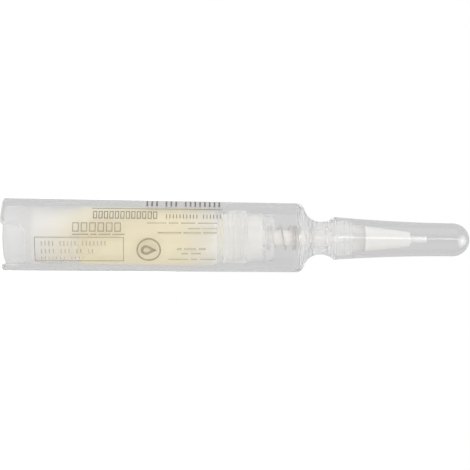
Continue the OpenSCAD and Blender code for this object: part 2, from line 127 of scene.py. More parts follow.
class SleeveSizes(PropertyGroup):
    rear_gap: length("Rear gap", 0.9, "Gap round the bottle at the rear rim")
    front_gap: length("Front gap", 0.42, "Gap round the bottle's radius at the front corner")
    wall: length("Wall", 1.4, "Wall of the sleeve")
    front_wall: length("Front wall", 1.4, "Thickness of the front wall")
    corner: length("Corner", 2.3, "Radius of the front corner")
    rim: length("Rim", 0.3, "Rounding of the rear rim")
    notch_depth: length("Notch depth", 7.6, "Depth of the thumb notch")
    notch_width: length("Notch width", 13.6, "Width of the thumb notch")
    notch_corner: length("Notch corner", 3, "Radius of the notch's inner corners")
    notch_round: length("Notch rounding", 1.2, "Rounding of the notch's outer corners")
    notch_turn: turn("Notch turn", 22, "Turn of the notch about the axis")
    waist: length("Waist", 5.2, "Radius of the waist")
    rear_curve: length("Rear curve", 5.7, "Radius of the hollow curve behind the waist")
    front_curve: length("Front curve", 6.5, "Radius of the hollow curve in front of the waist")
    flange: length("Flange", 6.8, "Radius of the flange")
    flange_edge: length("Flange edge", 0.35, "Width of the flange's edge")
    seat: length("Seat", 5.2, "Length of the seat that the cap fits on")
    bead: length("Bead", 0.2, "Height of the beads round the seat")
    bead_width: length("Bead width", 0.7, "Width of a bead")
    spigot: length("Spigot", 4.3, "Length of the spigot in the nozzle")
    channel: length("Channel", 1, "Radius of the channel through the seat")


class CapSizes(PropertyGroup):
    total: length("Length", 43.2, "Length of the cap")
    dome_radius: length("Dome radius", 5.3, "Radius where the dome starts")
    dome: length("Dome", 5.4, "Height of the dome")
    wall: length("Wall", 0.92, "Wall of the cap")
    curve: share("Curve", 1.9, "How fast the cap narrows behind its mouth", 3)


class NozzleSizes(PropertyGroup):
    total: length("Length", 18.8, "Length of the nozzle")
    base: length("Base", 4.75, "Radius at the base")
    knee: length("Knee", 4.02, "Radius at the spigot's end")
    tip: length("Tip", 2.4, "Radius at the front")
    chamfer: length("Chamfer", 0.4, "Width of the front chamfer")
    wall: length("Wall", 0.9, "Wall round the spigot")
    channel: length("Channel", 1.3, "Radius of the channel")
    tube: length("Tube", 1.03, "Radius of the tube")
    tube_bore: length("Tube bore", 0.5, "Radius of the tube's channel")
    tube_reach: length("Tube reach", 5.5, "Length of the tube in front of the nozzle")
    tube_seat: length("Tube seat", 5, "Length of the tube inside the nozzle")
    sleeve_length: length("Thick part", 1.85, "Length of the tube's thicker part")
    sleeve_height: length("Thick part's height", 0.13, "Height of the tube's thicker part")


class BottleSizes(PropertyGroup):
    radius: length("Radius", 9.2, "Outer radius of the bottle")
    wall: length("Wall", 0.95, "Wall of the bottle")
    total: length("Length", 73.4, "Length from the rear edge to the neck's end")
    neck: length("Neck", 5.8, "Length of the neck")
    neck_wall: length("Neck wall", 1.1, "Wall of the neck")
    shoulder: length("Shoulder", 1.6, "Length of the slope to the neck")
    recess: length("Recess", 0.6, "How far the base lies inside the sleeve's rim")
    base: length("Base", 1.2, "Thickness of the base plug's disc")
    base_skirt: length("Base skirt", 4, "Length of the base plug's skirt")
    vent: length("Vent", 0.7, "Radius of the vent in the base")
    rear_room: length("Rear room", 7.8, "Empty room behind the follower piston")
    follower: length("Follower", 13, "Length of the follower piston without its front lip")
    follower_wall: length("Follower wall", 1.1, "Wall of the follower piston")
    lip: length("Lip", 1.6, "Height of the follower's lips")
    travel: length("Travel", 42, "How far the follower goes until the paste is used up")
    thread_pitch: length("Thread pitch", 1.6, "Pitch of the neck's thread")
    thread: length("Thread", 0.3, "Height of the neck's thread")


class PumpSizes(PropertyGroup):
    stroke: length("Stroke", 5, "Stroke of the pump")
    bore: length("Bore", 3, "Radius of the cylinder's bore")
    wall: length("Wall", 0.9, "Wall of the cylinder")
    piston: length("Piston", 2.75, "Length of the dosing piston")
    gasket: length("Gasket", 0.7, "Thickness of the gasket")
    flange: length("Flange", 0.9, "Thickness of the cylinder's flange")
    head: length("Head", 5.4, "Height of the head above the flange")
    bush: length("Bush", 1.9, "Length of the bush")
    stem: length("Stem", 2.4, "Outer radius of the stem")
    stem_bore: length("Stem bore", 1.1, "Radius of the stem's channel")
    collar_inset: length("Collar inset", 0.4, "How far the skirt lies inside the bottle's radius")
    cup_step: length("Cup step", 0.95, "How far the cup lies inside the skirt's radius")
    cup_wall: length("Cup wall", 0.85, "Wall of the cup")
    cup_floor: length("Cup floor", 0.8, "Thickness of the cup's floor")
    cup_depth: length("Cup depth", 3, "Depth of the cup")
    spring: length("Spring", 10.9, "Length of the spring as it stands")
    coil: length("Coil", 3.9, "Radius of the coils at the wire's middle")
    wire: length("Wire", 0.5, "Thickness of the wire")
    close_pitch: length("Close pitch", 0.75, "Pitch of the close turns")
    rear_turns: share("Rear turns", 1.5, "Close turns at the rear end", 4)
    open_turns: share("Open turns", 2.2, "Open turns", 6)
    front_turns: share("Front turns", 2, "Close turns at the front end", 4)


class PrintSizes(PropertyGroup):
    start: length("Start", 10.9, "Where the print starts")
    end: length("End", 69.7, "Where the print ends")
    skew: turn("Skew", 3.2, "How far the rows' start is turned down against their end")
    ink: length("Ink", 0.08, "Thickness of the print")
    line: length("Line", 0.3, "Width of the frame's lines")
    mark: length("Mark", 3.85, "Radius of the round mark")
    mark_line: length("Mark line", 0.5, "Line width of the round mark")


class Finishes(PropertyGroup):
    clear: colour("Clear plastic", (0.975, 0.975, 0.975), "What one wall lets through")
    edge: colour("Edge", (0.8, 0.8, 0.79), "Cut edges of the rim and the notch, which look milky")
    frosted: colour("Frosted plastic", (0.985, 0.985, 0.985), "Bottle and collar")
    empty: colour("Empty chamber", (0.93, 0.93, 0.93), "Bottle behind its follower")
    base: colour("Base plug", (0.85, 0.85, 0.86), "Pressed base of the bottle")
    base_edge: colour("Base edge", (0.86, 0.86, 0.86), "Rounded edge of the pressed base")
    neck: colour("Neck", (0.97, 0.95, 0.885), "Bottle's neck, stained by the paste")
    white: colour("White plastic", (0.765, 0.76, 0.745), "Nozzle")
    tube: colour("Tube", (0.93, 0.93, 0.91), "Thin tube in the nozzle's tip")
    natural: colour("Natural plastic", (0.795, 0.77, 0.705), "Follower piston")
    pump: colour("Pump plastic", (0.66, 0.66, 0.64), "Bush and dosing piston")
    cylinder: colour("Cylinder plastic", (0.74, 0.725, 0.685), "Cylinder with its head")
    stem: colour("Stem", (0.87, 0.84, 0.8), "Stem")
    paste: colour("Paste", (0.83, 0.722, 0.428), "Flux paste")
    # Paste near the neck: a paler tone, darkened as painted shade
    shaded_neck_paste: colour("Pale paste", (0.73, 0.7, 0.59), "Paste near the neck")
    # Painted light: paler, less saturated paste near the follower on the side towards -X, where the key
    # lamp shines
    lit_paste: colour("Haze", (0.88, 0.85, 0.77), "Paste that the follower's white shows through")
    film: colour("Film", (0.83, 0.745, 0.49), "Film of paste on the follower piston")
    steel: colour("Steel", (0.95, 0.94, 0.915), "Spring")
    seal: colour("Seal", (0.62, 0.61, 0.58), "Gasket and valve discs")
    dark_ink: colour("Dark ink", (0.17, 0.155, 0.13), "Upper rows of the print")
    brown_ink: colour("Brown ink", (0.29, 0.26, 0.195), "Open blocks and framed box")
    mark_ink: colour("Mark ink", (0.31, 0.275, 0.2), "Round mark")
    pale_ink: colour("Pale ink", (0.45, 0.42, 0.35), "Rows in the framed box")
    gold_ink: colour("Gold ink", (0.4, 0.375, 0.3), "Small rows")


class StageSettings(PropertyGroup):
    ambient: share("Ambient", 0.912, "Strength of the even light from all round", 2)
    seen_through: share("Seen through", 0.62, "How bright the backdrop is in plastic and steel")
    key: share("Key", 0.84, "Power of the soft lamp above the picture, in watts", 10)
    fill: share("Fill", 0.46, "Power of the soft lamp below the picture, in watts", 10)
    line: share("Line", 0.3, "Power of the narrow lamp beside the camera, in watts", 10)
    end: share("End", 1.2, "Power of the lamp beyond the cap's dome, in watts", 10)
    end_spread: turn("End spread", 80, "How wide the lamp beyond the cap's dome shines")
    camera_distance: length("Camera distance", 452, "From the camera to the axis")
    camera_height: length("Camera height", 61.2, "Of the camera above the rear rim")
    yaw: turn("Yaw", 1.58, "Turn of the view towards the nozzle")
    pitch: turn("Pitch", 0.086, "Turn of the view towards -X")
    roll: turn("Roll", 0.72, "Turn of the picture")
    focal: FloatProperty(name="Focal length", description="In millimetres on a 36 mm sensor",
                         default=108.15, min=10, unit="CAMERA")


class SyringeSettings(PropertyGroup):
    sleeve: PointerProperty(type=SleeveSizes)
    cap: PointerProperty(type=CapSizes)
    nozzle: PointerProperty(type=NozzleSizes)
    bottle: PointerProperty(type=BottleSizes)
    pump: PointerProperty(type=PumpSizes)
    marks: PointerProperty(type=PrintSizes)
    finish: PointerProperty(type=Finishes)
    stage: PointerProperty(type=StageSettings)
    columns: IntProperty(name="Columns", description="Faces round a turned piece", default=160,
                         min=24, max=400)


# Places that follow from the sizes, as in the part's source

def places(s):
    """Every height and radius that two pieces share, in metres."""
    b, p, v, n, c = s.bottle, s.pump, s.sleeve, s.nozzle, s.cap
    d = SimpleNamespace()
    d.base_z = b.recess
    d.bottle_z = d.base_z + b.base
    d.neck_end_z = d.bottle_z + b.total
    d.neck_z = d.neck_end_z - b.neck
    d.shoulder_z = d.neck_z - b.shoulder
    d.bottle_in = b.radius - b.wall
    d.collar_r = b.radius - p.collar_inset
    d.cup_r = d.collar_r - p.cup_step
    d.thread_r = d.collar_r - 1.05 * MM - SLIDE
    d.neck_r = d.thread_r - b.thread
    d.neck_in = d.neck_r - b.neck_wall
    d.follower_z = d.bottle_z + b.rear_room
    d.follower_front_z = d.follower_z + b.follower
    d.lip_end_z = d.follower_front_z + b.lip
    d.flange_z = d.neck_end_z + p.gasket
    d.head_z = d.flange_z + p.flange
    d.head_end_z = d.head_z + p.head
    d.floor_z = d.head_end_z + PRESS
    d.cup_z = d.floor_z + p.cup_floor
    d.cup_end_z = d.cup_z + p.cup_depth
    d.head_r = d.cup_r - p.cup_wall - PRESS
    d.cylinder_r = p.bore + p.wall
    d.bush_r = p.bore + p.wall / 2
    d.bush_z = d.head_end_z - p.bush
    d.piston_z = d.bush_z - SLIDE - p.piston
    d.bore_z = d.piston_z - p.stroke - 0.2 * MM
    d.cylinder_z = d.bore_z - 2.5 * MM - 2 * SLIDE
    d.sleeve_rear = b.radius + v.rear_gap + v.wall
    d.sleeve_front = b.radius + v.front_gap + v.wall
    d.inner_front_z = d.cup_z + p.spring + 2 * SLIDE
    d.front_z = d.inner_front_z + v.front_wall
    d.waist_z = d.front_z + v.rear_curve
    d.corner_x = d.sleeve_front - v.corner
    d.rear_curve_x = v.waist + v.rear_curve
    side = max(0, d.rear_curve_x - d.corner_x)
    reach = v.corner + v.rear_curve
    d.corner_z = d.waist_z - math.sqrt(reach ** 2 - side ** 2)
    d.corner_turn = math.acos(side / reach)
    d.front_curve_x = v.waist + v.front_curve
    d.flare = math.acos((d.front_curve_x - v.flange) / v.front_curve)
    d.flange_edge_z = d.waist_z + v.front_curve * math.sin(d.flare)
    d.seat_z = d.flange_edge_z + v.flange_edge
    d.seat_end_z = d.seat_z + v.seat
    d.spigot_end_z = d.seat_end_z + v.spigot
    d.spigot_r = n.base - n.wall - PRESS
    d.spigot_tip_r = n.knee - n.wall - PRESS
    d.rear_land = v.notch_depth + 0.4 * MM
    d.stem_end_z = d.flange_edge_z
    d.stem_z = d.piston_z + 1 * MM
    d.nozzle_end_z = d.seat_end_z + n.total
    d.tube_z = d.nozzle_end_z - n.tube_seat
    d.tube_end_z = d.nozzle_end_z + n.tube_reach
    d.outlet_room_r = v.channel + 1.2 * MM
    d.outlet_room_z = d.spigot_end_z + 1.1 * MM + 2 * SLIDE
    d.cap_z = d.seat_z + SLIDE
    d.cap_end_z = d.cap_z + c.total
    d.dome_z = d.cap_end_z - c.dome
    d.cap_bore = v.flange - c.wall
    d.seat_r = d.cap_bore - SLIDE - v.bead
    return d


def sleeve_radius(d, z):
    """Outer radius of the sleeve: even up to the land, then a straight taper to the front corner."""
    t = np.clip((np.asarray(z) - d.rear_land) / (d.corner_z - d.rear_land), 0, 1)
    return d.sleeve_rear + (d.sleeve_front - d.sleeve_rear) * t


# Shapes

def arc(centre, radius, start, end, steps=12):
    """Points centre + radius (cos a, sin a), with a going evenly from start to end."""
    a = np.linspace(start, end, steps + 1)
    return np.stack([centre[0] + radius * np.cos(a), centre[1] + radius * np.sin(a)], -1)


def rounded(points, radius, steps=4, closed=True):
    """A section with rounded corners. Corner C turns into the conic from A to B with weight w at C:
    ((1-s)^2 A + 2 s (1-s) w C + s^2 B) / ((1-s)^2 + 2 s (1-s) w + s^2), s from 0 to 1. A and B lie on
    the two sides at the wanted reach, or less on a short side, and w is the sine of half the angle at
    C, which makes it a circle's arc."""
    p = np.asarray(points, float)
    back, ahead = np.roll(p, 1, 0) - p, np.roll(p, -1, 0) - p
    back_len = np.maximum(np.linalg.norm(back, axis=1), 1e-12)
    ahead_len = np.maximum(np.linalg.norm(ahead, axis=1), 1e-12)
    reach = np.minimum(np.broadcast_to(radius, len(p)), np.minimum(back_len, ahead_len) * 0.46)
    reach = np.where(p[:, 0] < 1e-9, 0, reach)
    if not closed:
        reach[[0, -1]] = 0
    back, ahead = back / back_len[:, None], ahead / ahead_len[:, None]
    cosine = np.clip((back * ahead).sum(1), -1, 1)
    w = np.sqrt((1 - cosine) / 2)[:, None, None]
    a, b, c = (x[:, None, :] for x in (p + back * reach[:, None], p + ahead * reach[:, None], p))
    s = np.linspace(0, 1, steps + 1)[None, :, None]
    top = (1 - s) ** 2 * a + 2 * s * (1 - s) * w * c + s ** 2 * b
    return (top / ((1 - s) ** 2 + 2 * s * (1 - s) * w + s ** 2)).reshape(-1, 2)


def place_new(name, data):
    """A new object of the scene with its data."""
    thing = bpy.data.objects.new(name, data)
    bpy.context.scene.collection.objects.link(thing)
    return thing


def smooth_mesh(name, points, faces, material, sharp=38):
    """A piece from points and faces: welded, smooth except at edges sharper than the given angle."""
    mesh = bpy.data.meshes.new(name)
    mesh.from_pydata(np.asarray(points).reshape(-1, 3).tolist(), [], np.asarray(faces).tolist())
    work = bmesh.new()
    work.from_mesh(mesh)
    bmesh.ops.remove_doubles(work, verts=work.verts, dist=WELD)
    work.to_mesh(mesh)
    work.free()
    mesh.validate()
    mesh.polygons.foreach_set("use_smooth", np.ones(len(mesh.polygons), bool))
    mesh.set_sharp_from_angle(angle=math.radians(sharp))
    mesh.materials.append(material)
    piece = place_new(name, mesh)
    node, body, slot = PIECES[name]
    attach(piece, body)
    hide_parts(node)
    return piece


def face_places(piece):
    """For each face its centre's distance from the axis and height, and how far it faces outward."""
    faces = piece.data.polygons
    centres, normals = np.empty((len(faces), 3)), np.empty((len(faces), 3))
    faces.foreach_get("center", centres.ravel())
    faces.foreach_get("normal", normals.ravel())
    reach = np.hypot(*centres[:, :2].T)
    return reach, centres[:, 2], (centres[:, :2] * normals[:, :2]).sum(1) / np.maximum(reach, 1e-9)


def give_faces(s, piece, masks):
    """Other finishes for some faces of a piece, each with its own mask."""
    index = np.zeros(len(piece.data.polygons), int)
    for slot, (kind, mask) in enumerate(masks.items(), 1):
        piece.data.materials.append(finish_for(s, kind))
        index[mask] = slot
    piece.data.polygons.foreach_set("material_index", index)


def grid_faces(rows, columns, close_rows=True, close_columns=True):
    """Quads of a grid of points. Each goes one column on, then one row on."""
    i, j = np.meshgrid(np.arange(rows if close_rows else rows - 1),
                       np.arange(columns if close_columns else columns - 1), indexing="ij")
    i2, j2 = (i + 1) % rows, (j + 1) % columns
    return np.stack([i * columns + j, i * columns + j2, i2 * columns + j2, i2 * columns + j],
                    -1).reshape(-1, 4)


def anticlockwise(section):
    """The section's points in the order that makes its faces point outwards."""
    r, z = section.T
    area = (r * np.roll(z, -1) - np.roll(r, -1) * z).sum()
    return section if area > 0 else section[::-1]


def around(radius, angle, z):
    """Points at a turn about the axis: (r sin a, -r cos a, z)."""
    radius, angle, z = np.broadcast_arrays(radius, angle, z)
    return np.stack([radius * np.sin(angle), -radius * np.cos(angle), z], -1)


def turned(name, section, material, columns, proud=None):
    """A closed section carried round the axis. Proud gives what is added to the radius at (r, a, z)."""
    section = anticlockwise(np.asarray(section, float))
    a = np.linspace(0, 2 * np.pi, columns, endpoint=False)[None, :]
    r, z = section[:, :1], section[:, 1:]
    r = r + (proud(r, a, z) if proud else 0 * a)
    return smooth_mesh(name, around(r, a, z), grid_faces(len(section), columns), material)


def beads(radius, height, width, heights):
    """Trapezoid beads on a wall, one round each height."""
    return np.concatenate([[[radius, z - width / 2], [radius + height, z - width / 4],
                            [radius + height, z + width / 4], [radius, z + width / 2]]
                           for z in heights])


def quarter_ellipse(across, along, start, steps=40):
    """Points (across cos t, start + along sin t), t from 0 to a quarter turn, ending on the axis."""
    t = np.linspace(0, np.pi / 2, steps + 1)
    points = np.stack([across * np.cos(t), start + along * np.sin(t)], -1)
    points[-1, 0] = 0
    return points


def steps_between(start, end, count):
    """Points start (1 - t) + end t, with t even from 0 to just before 1, for a side that needs rows."""
    t = np.linspace(0, 1, count, endpoint=False)[:, None]
    return np.asarray(start) * (1 - t) + np.asarray(end) * t


# Nodes

def feed(tree, node, inputs):
    """Gives each input of a node a value or another node's output."""
    for key, value in inputs.items():
        if isinstance(value, bpy.types.NodeSocket):
            tree.links.new(value, node.inputs[key])
        else:
            node.inputs[key].default_value = value


def add(tree, kind, inputs=None, **settings):
    """The outputs of a new shader node with its settings and inputs."""
    node = tree.nodes.new("ShaderNode" + kind)
    for key, value in settings.items():
        setattr(node, key, value)
    feed(tree, node, inputs or {})
    return node.outputs


def calculate(tree, operation, *values, **settings):
    """What a Math node makes of up to three values."""
    return add(tree, "Math", dict(enumerate(values)), operation=operation, **settings)[0]


def mixed(tree, factor, a, b, kind="RGBA"):
    """A mix of two colours, or of two numbers where kind is FLOAT."""
    return add(tree, "Mix", {"Factor": factor, "A": a, "B": b}, data_type=kind)["Result"]


def noise(tree, place, scale, detail, distortion=0.0):
    """Soft noise over a place."""
    return add(tree, "TexNoise", {"Vector": place, "Scale": scale, "Detail": detail,
                                  "Distortion": distortion})["Fac"]


def between(tree, value, start, end, **settings):
    """How far a value lies from start to end, kept between 0 and 1."""
    return add(tree, "MapRange", {"Value": value, "From Min": start, "From Max": end},
               **settings)["Result"]


def bump(tree, height, strength, depth):
    """A normal that follows a height."""
    return add(tree, "Bump", {"Height": height, "Strength": strength, "Distance": depth})["Normal"]


def rgba(value, scale=1.0):
    """A colour with full alpha, scaled."""
    return (*[min(1, x * scale) for x in value], 1)


def group(name, inputs, outputs):
    """A shader node group with its input sockets, or with None where it is there already. A socket
    whose name ends in Color holds a colour, and the others hold a number."""
    tree = bpy.data.node_groups.get(name)
    if tree:
        return tree, None
    tree = bpy.data.node_groups.new(name, "ShaderNodeTree")
    for in_out, sockets in (("INPUT", inputs), ("OUTPUT", outputs)):
        for socket in sockets:
            kind = "NodeSocketColor" if socket.endswith("Color") else "NodeSocketFloat"
            tree.interface.new_socket(socket, in_out=in_out, socket_type=kind)
    return tree, tree.nodes.new("NodeGroupInput").outputs


def moulding():
    """Moulded plastic: slow flow marks between two colours, and fine grain in roughness and height."""
    tree, given = group("moulding",
                        ["Color", "Flow Color", "Flow Scale", "Grain Scale", "Roughness", "Spread"],
                        ["Color", "Roughness", "Height"])
    if given is None:
        return tree
    place = add(tree, "TexCoord")["Object"]
    flow = noise(tree, place, given["Flow Scale"], 3, 0.6)
    grain = noise(tree, place, given["Grain Scale"], 2)
    centred = calculate(tree, "SUBTRACT", grain, 0.5)
    feed(tree, tree.nodes.new("NodeGroupOutput"), {
        "Color": mixed(tree, between(tree, flow, 0.32, 0.68), given["Color"], given["Flow Color"]),
        "Roughness": calculate(tree, "MULTIPLY_ADD", centred, given["Spread"], given["Roughness"]),
        "Height": calculate(tree, "MULTIPLY_ADD", grain, 0.35, flow)})
    return tree


def handling_marks():
    """Faint rub marks along the axis: a mask of thin streaks that comes and goes in patches."""
    tree, given = group("handling_marks", ["Amount"], ["Mask"])
    if given is None:
        return tree
    place = add(tree, "TexCoord")["Object"]
    along = add(tree, "Mapping", {"Vector": place, "Scale": (1, 1, 0.12),
                                  "Rotation": (0.12, 0.09, 0)})["Vector"]
    thin = between(tree, noise(tree, along, 2600, 2), 0.6, 0.74)
    zone = between(tree, noise(tree, place, 90, 1), 0.45, 0.7)
    both = calculate(tree, "MULTIPLY", thin, zone)
    mask = calculate(tree, "MULTIPLY", both, given["Amount"], use_clamp=True)
    feed(tree, tree.nodes.new("NodeGroupOutput"), {"Mask": mask})
    return tree


def film_mask():
    """How far a place lies between two heights, uneven by slow smears. Lean adds its share of X."""
    tree, given = group("film_mask", ["From", "To", "Lean", "Uneven"], ["Mask"])
    if given is None:
        return tree
    place = add(tree, "TexCoord")["Object"]
    axes = add(tree, "SeparateXYZ", {0: place})
    smear = calculate(tree, "SUBTRACT", noise(tree, place, 150, 4, 1.2), 0.5)
    lean = calculate(tree, "MULTIPLY_ADD", axes["X"], given["Lean"], axes["Z"])
    height = calculate(tree, "MULTIPLY_ADD", smear, given["Uneven"], lean)
    mask = between(tree, height, given["From"], given["To"], interpolation_type="SMOOTHSTEP")
    feed(tree, tree.nodes.new("NodeGroupOutput"), {"Mask": mask})
    return tree


def film(tree, start, end, lean, uneven):
    """The film mask with its own values."""
    return add(tree, "Group", {"From": start, "To": end, "Lean": lean, "Uneven": uneven},
               node_tree=film_mask())["Mask"]


def rub_marks(tree, amount):
    """The mask of handling marks at a strength."""
    return add(tree, "Group", {"Amount": amount}, node_tree=handling_marks())["Mask"]


# Finishes

def new_material(name):
    """An empty node material and its tree."""
    material = bpy.data.materials.new(name)
    material.use_nodes = True
    material.node_tree.nodes.clear()
    return material, material.node_tree


def moulded_look(tree, base, flow, roughness, spread, flow_scale, grain_scale, strength, depth):
    """Colour, roughness and normal of a moulded surface. Flow is the flow marks' share of the colour."""
    look = add(tree, "Group", {
        "Color": rgba(base), "Flow Color": rgba(base, flow), "Flow Scale": flow_scale,
        "Grain Scale": grain_scale, "Roughness": roughness, "Spread": spread}, node_tree=moulding())
    return {"Base Color": look["Color"], "Roughness": look["Roughness"],
            "Normal": bump(tree, look["Height"], strength, depth)}


def solid(tree, inputs):
    """Ends a tree in a Principled shader with these inputs."""
    shader = add(tree, "BsdfPrincipled", inputs)[0]
    add(tree, "OutputMaterial", {"Surface": shader})


def moulded(name, base, flow, roughness=0.35, spread=0.12, flow_scale=160, grain_scale=2500,
            strength=0.15, subsurface=0.0, cover=None):
    """A moulded plastic. It is opaque, or its cover goes from one value to another between two
    heights: cover = (start z, value there, end z, value there)."""
    material, tree = new_material(name)
    inputs = moulded_look(tree, base, flow, roughness, spread, flow_scale, grain_scale, strength,
                          0.03 * MM)
    inputs |= {"Subsurface Weight": subsurface, "Subsurface Scale": 1.5 * MM,
               "Subsurface Radius": (1, 0.9, 0.75), "IOR": 1.49}
    if cover:
        axes = add(tree, "SeparateXYZ", {0: add(tree, "TexCoord")["Object"]})
        inputs["Alpha"] = add(tree, "MapRange", {
            "Value": axes["Z"], "From Min": cover[0], "To Min": cover[1], "From Max": cover[2],
            "To Max": cover[3]})["Result"]
    solid(tree, inputs)
    return material


def see_through(name, base, flow, roughness, spread, transmission, flow_scale=60, grain_scale=700,
                strength=0.03, marks=0.0):
    """A clear or frosted plastic that lets the lamps through to what is inside it."""
    material, tree = new_material(name)
    inputs = moulded_look(tree, base, flow, roughness, spread, flow_scale, grain_scale, strength,
                          0.04 * MM)
    inputs["Roughness"] = calculate(tree, "MULTIPLY_ADD", rub_marks(tree, marks), 0.25,
                                    inputs["Roughness"], use_clamp=True)
    inputs |= {"Transmission Weight": transmission, "IOR": 1.5}
    path = add(tree, "LightPath")
    lit = calculate(tree, "MAXIMUM", path["Is Shadow Ray"], path["Is Diffuse Ray"])
    surface = add(tree, "MixShader", {"Fac": lit, 1: add(tree, "BsdfPrincipled", inputs)[0],
                                      2: add(tree, "BsdfTransparent")[0]})
    add(tree, "OutputMaterial", {"Surface": surface[0]})
    return material


def paste_material(name, f, face_z, front_z):
    """Thick paste: yellow, turning towards the neck to a paler tone that is also darkened there as
    painted shade, with smears and pits.
    At its rear a soft paler blot on the side towards -X, where the key lamp shines, is painted light."""
    material, tree = new_material(name)
    place = add(tree, "TexCoord")["Object"]
    tones = mixed(tree, noise(tree, place, 130, 4, 1.2), rgba(f.paste, 0.97), rgba(f.paste, 1.03))
    # Towards the neck the paste turns to a paler tone, darkened as painted shade
    whole = mixed(tree, film(tree, front_z - 14 * MM, front_z, 0, 0.002), tones, rgba(f.shaded_neck_paste))
    # Painted light: a soft paler blot near the follower on the side towards -X, where the key lamp
    # shines
    blot = calculate(tree, "MULTIPLY", film(tree, face_z + 6 * MM, face_z - 12 * MM, 2, 0.004), 0.38)
    pits = add(tree, "TexVoronoi", {"Vector": place, "Scale": 900}, feature="SMOOTH_F1")["Distance"]
    solid(tree, {"Base Color": mixed(tree, blot, whole, rgba(f.lit_paste)), "Roughness": 0.5,
                 "Specular IOR Level": 0.3, "Subsurface Weight": 0.25,
                 "Subsurface Scale": 1.2 * MM, "Subsurface Radius": (1, 0.85, 0.45),
                 "Normal": bump(tree, pits, 0.2, 0.08 * MM)})
    return material


def follower_material(name, base, stain, face_z):
    """Whitish plastic with a film of paste on it, which reaches further back towards +X."""
    material, tree = new_material(name)
    inputs = moulded_look(tree, base, 0.96, 0.4, 0.12, 160, 2500, 0.15, 0.03 * MM)
    reach = film(tree, face_z - 11.5 * MM, face_z, 0.35, 0.003)
    inputs["Base Color"] = mixed(tree, reach, inputs["Base Color"], rgba(stain))
    solid(tree, inputs | {"Subsurface Weight": 0.25, "Subsurface Scale": 0.8 * MM,
                          "Subsurface Radius": (1, 0.9, 0.75), "IOR": 1.49})
    return material


def steel_material(name, base):
    """Drawn spring wire: streaks along the wire and darker spots."""
    material, tree = new_material(name)
    inputs = moulded_look(tree, base, 0.84, 0.3, 0.2, 900, 6000, 0.2, 0.02 * MM)
    solid(tree, inputs | {"Metallic": 1.0})
    return material


def ink_material(name, base):
    """Screen print: a matt film with uneven cover and small worn spots."""
    material, tree = new_material(name)
    inputs = moulded_look(tree, base, 1.35, 0.55, 0.2, 420, 5200, 0.15, 0.02 * MM)
    inputs["Base Color"] = mixed(tree, rub_marks(tree, 0.3), inputs["Base Color"], rgba(base, 2.2))
    solid(tree, inputs | {"Specular IOR Level": 0.35})
    return material


# Flow scale, grain scale and grain strength of the frosted pieces
FROST = (90, 1400, 0.12)
SATIN = (110, 1400, 0.08)

# Each see-through finish: its colour, the flow marks' share of it, roughness, its spread, what goes
# through, and where they differ from see_through's own values the scales, the strength and rub marks
SEE_THROUGH = {
    "clear": ("clear", 0.985, 0.03, 0.03, 0.982, 60, 700, 0.03, 0.5),
    "cap": ("clear", 0.985, 0.04, 0.03, 0.988, 60, 700, 0.03, 0.5),
    "thick": ("clear", 0.985, 0.12, 0.04, 0.84),
    "root": ("clear", 0.985, 0.12, 0.04, 0.78),
    "flange": ("clear", 0.985, 0.12, 0.04, 0.72),
    "edge": ("edge", 0.97, 0.4, 0.1, 0.2),
    "frosted": ("frosted", 0.98, 0.3, 0.1, 0.83, *FROST),
    "empty": ("empty", 0.98, 0.3, 0.1, 0.7, *FROST),
    "base": ("base", 0.98, 0.3, 0.1, 0.75, *FROST),
    "base_edge": ("base_edge", 0.98, 0.3, 0.1, 0.3, *FROST),
    "neck": ("neck", 0.98, 0.3, 0.1, 0.83, *FROST),
    "collar": ("frosted", 0.98, 0.14, 0.08, 0.82, *SATIN),
    "cup": ("frosted", 0.97, 0.14, 0.08, 0.87, *SATIN),
    "cylinder": ("cylinder", 0.96, 0.3, 0.1, 0.45, 90, 1400),
    "tube": ("tube", 0.946, 0.3, 0.1, 0.72, 500, 4000),
}


def finish_for(s, kind):
    """The object's finishes by name, each made once."""
    name = "syringe_" + kind
    if name in bpy.data.materials:
        return bpy.data.materials[name]
    f, d = s.finish, places(s)
    if kind in SEE_THROUGH:
        base, *look = SEE_THROUGH[kind]
        return see_through(name, getattr(f, base), *look)
    if kind == "white":
        cover = (d.spigot_end_z - 0.4 * MM, 0.38, d.spigot_end_z + 0.1 * MM, 1)
        return moulded(name, f.white, 0.97, subsurface=0.7, cover=cover)
    if kind == "stem":
        cover = (d.inner_front_z, 1, d.front_z + 1 * MM, 0.14)
        return moulded(name, f.stem, 0.94, 0.38, subsurface=0.2, cover=cover)
    if kind == "pump":
        return moulded(name, f.pump, 0.96, 0.4, subsurface=0.25)
    if kind == "seal":
        return moulded(name, f.seal, 0.9, 0.6, 0.15, 300, 3500, 0.3)
    if kind == "natural":
        return follower_material(name, f.natural, f.film, d.follower_front_z)
    if kind == "steel":
        return steel_material(name, f.steel)
    if kind == "paste":
        return paste_material(name, f, d.lip_end_z, d.shoulder_z)
    return ink_material(name, getattr(f, kind + "_ink"))


# Pieces

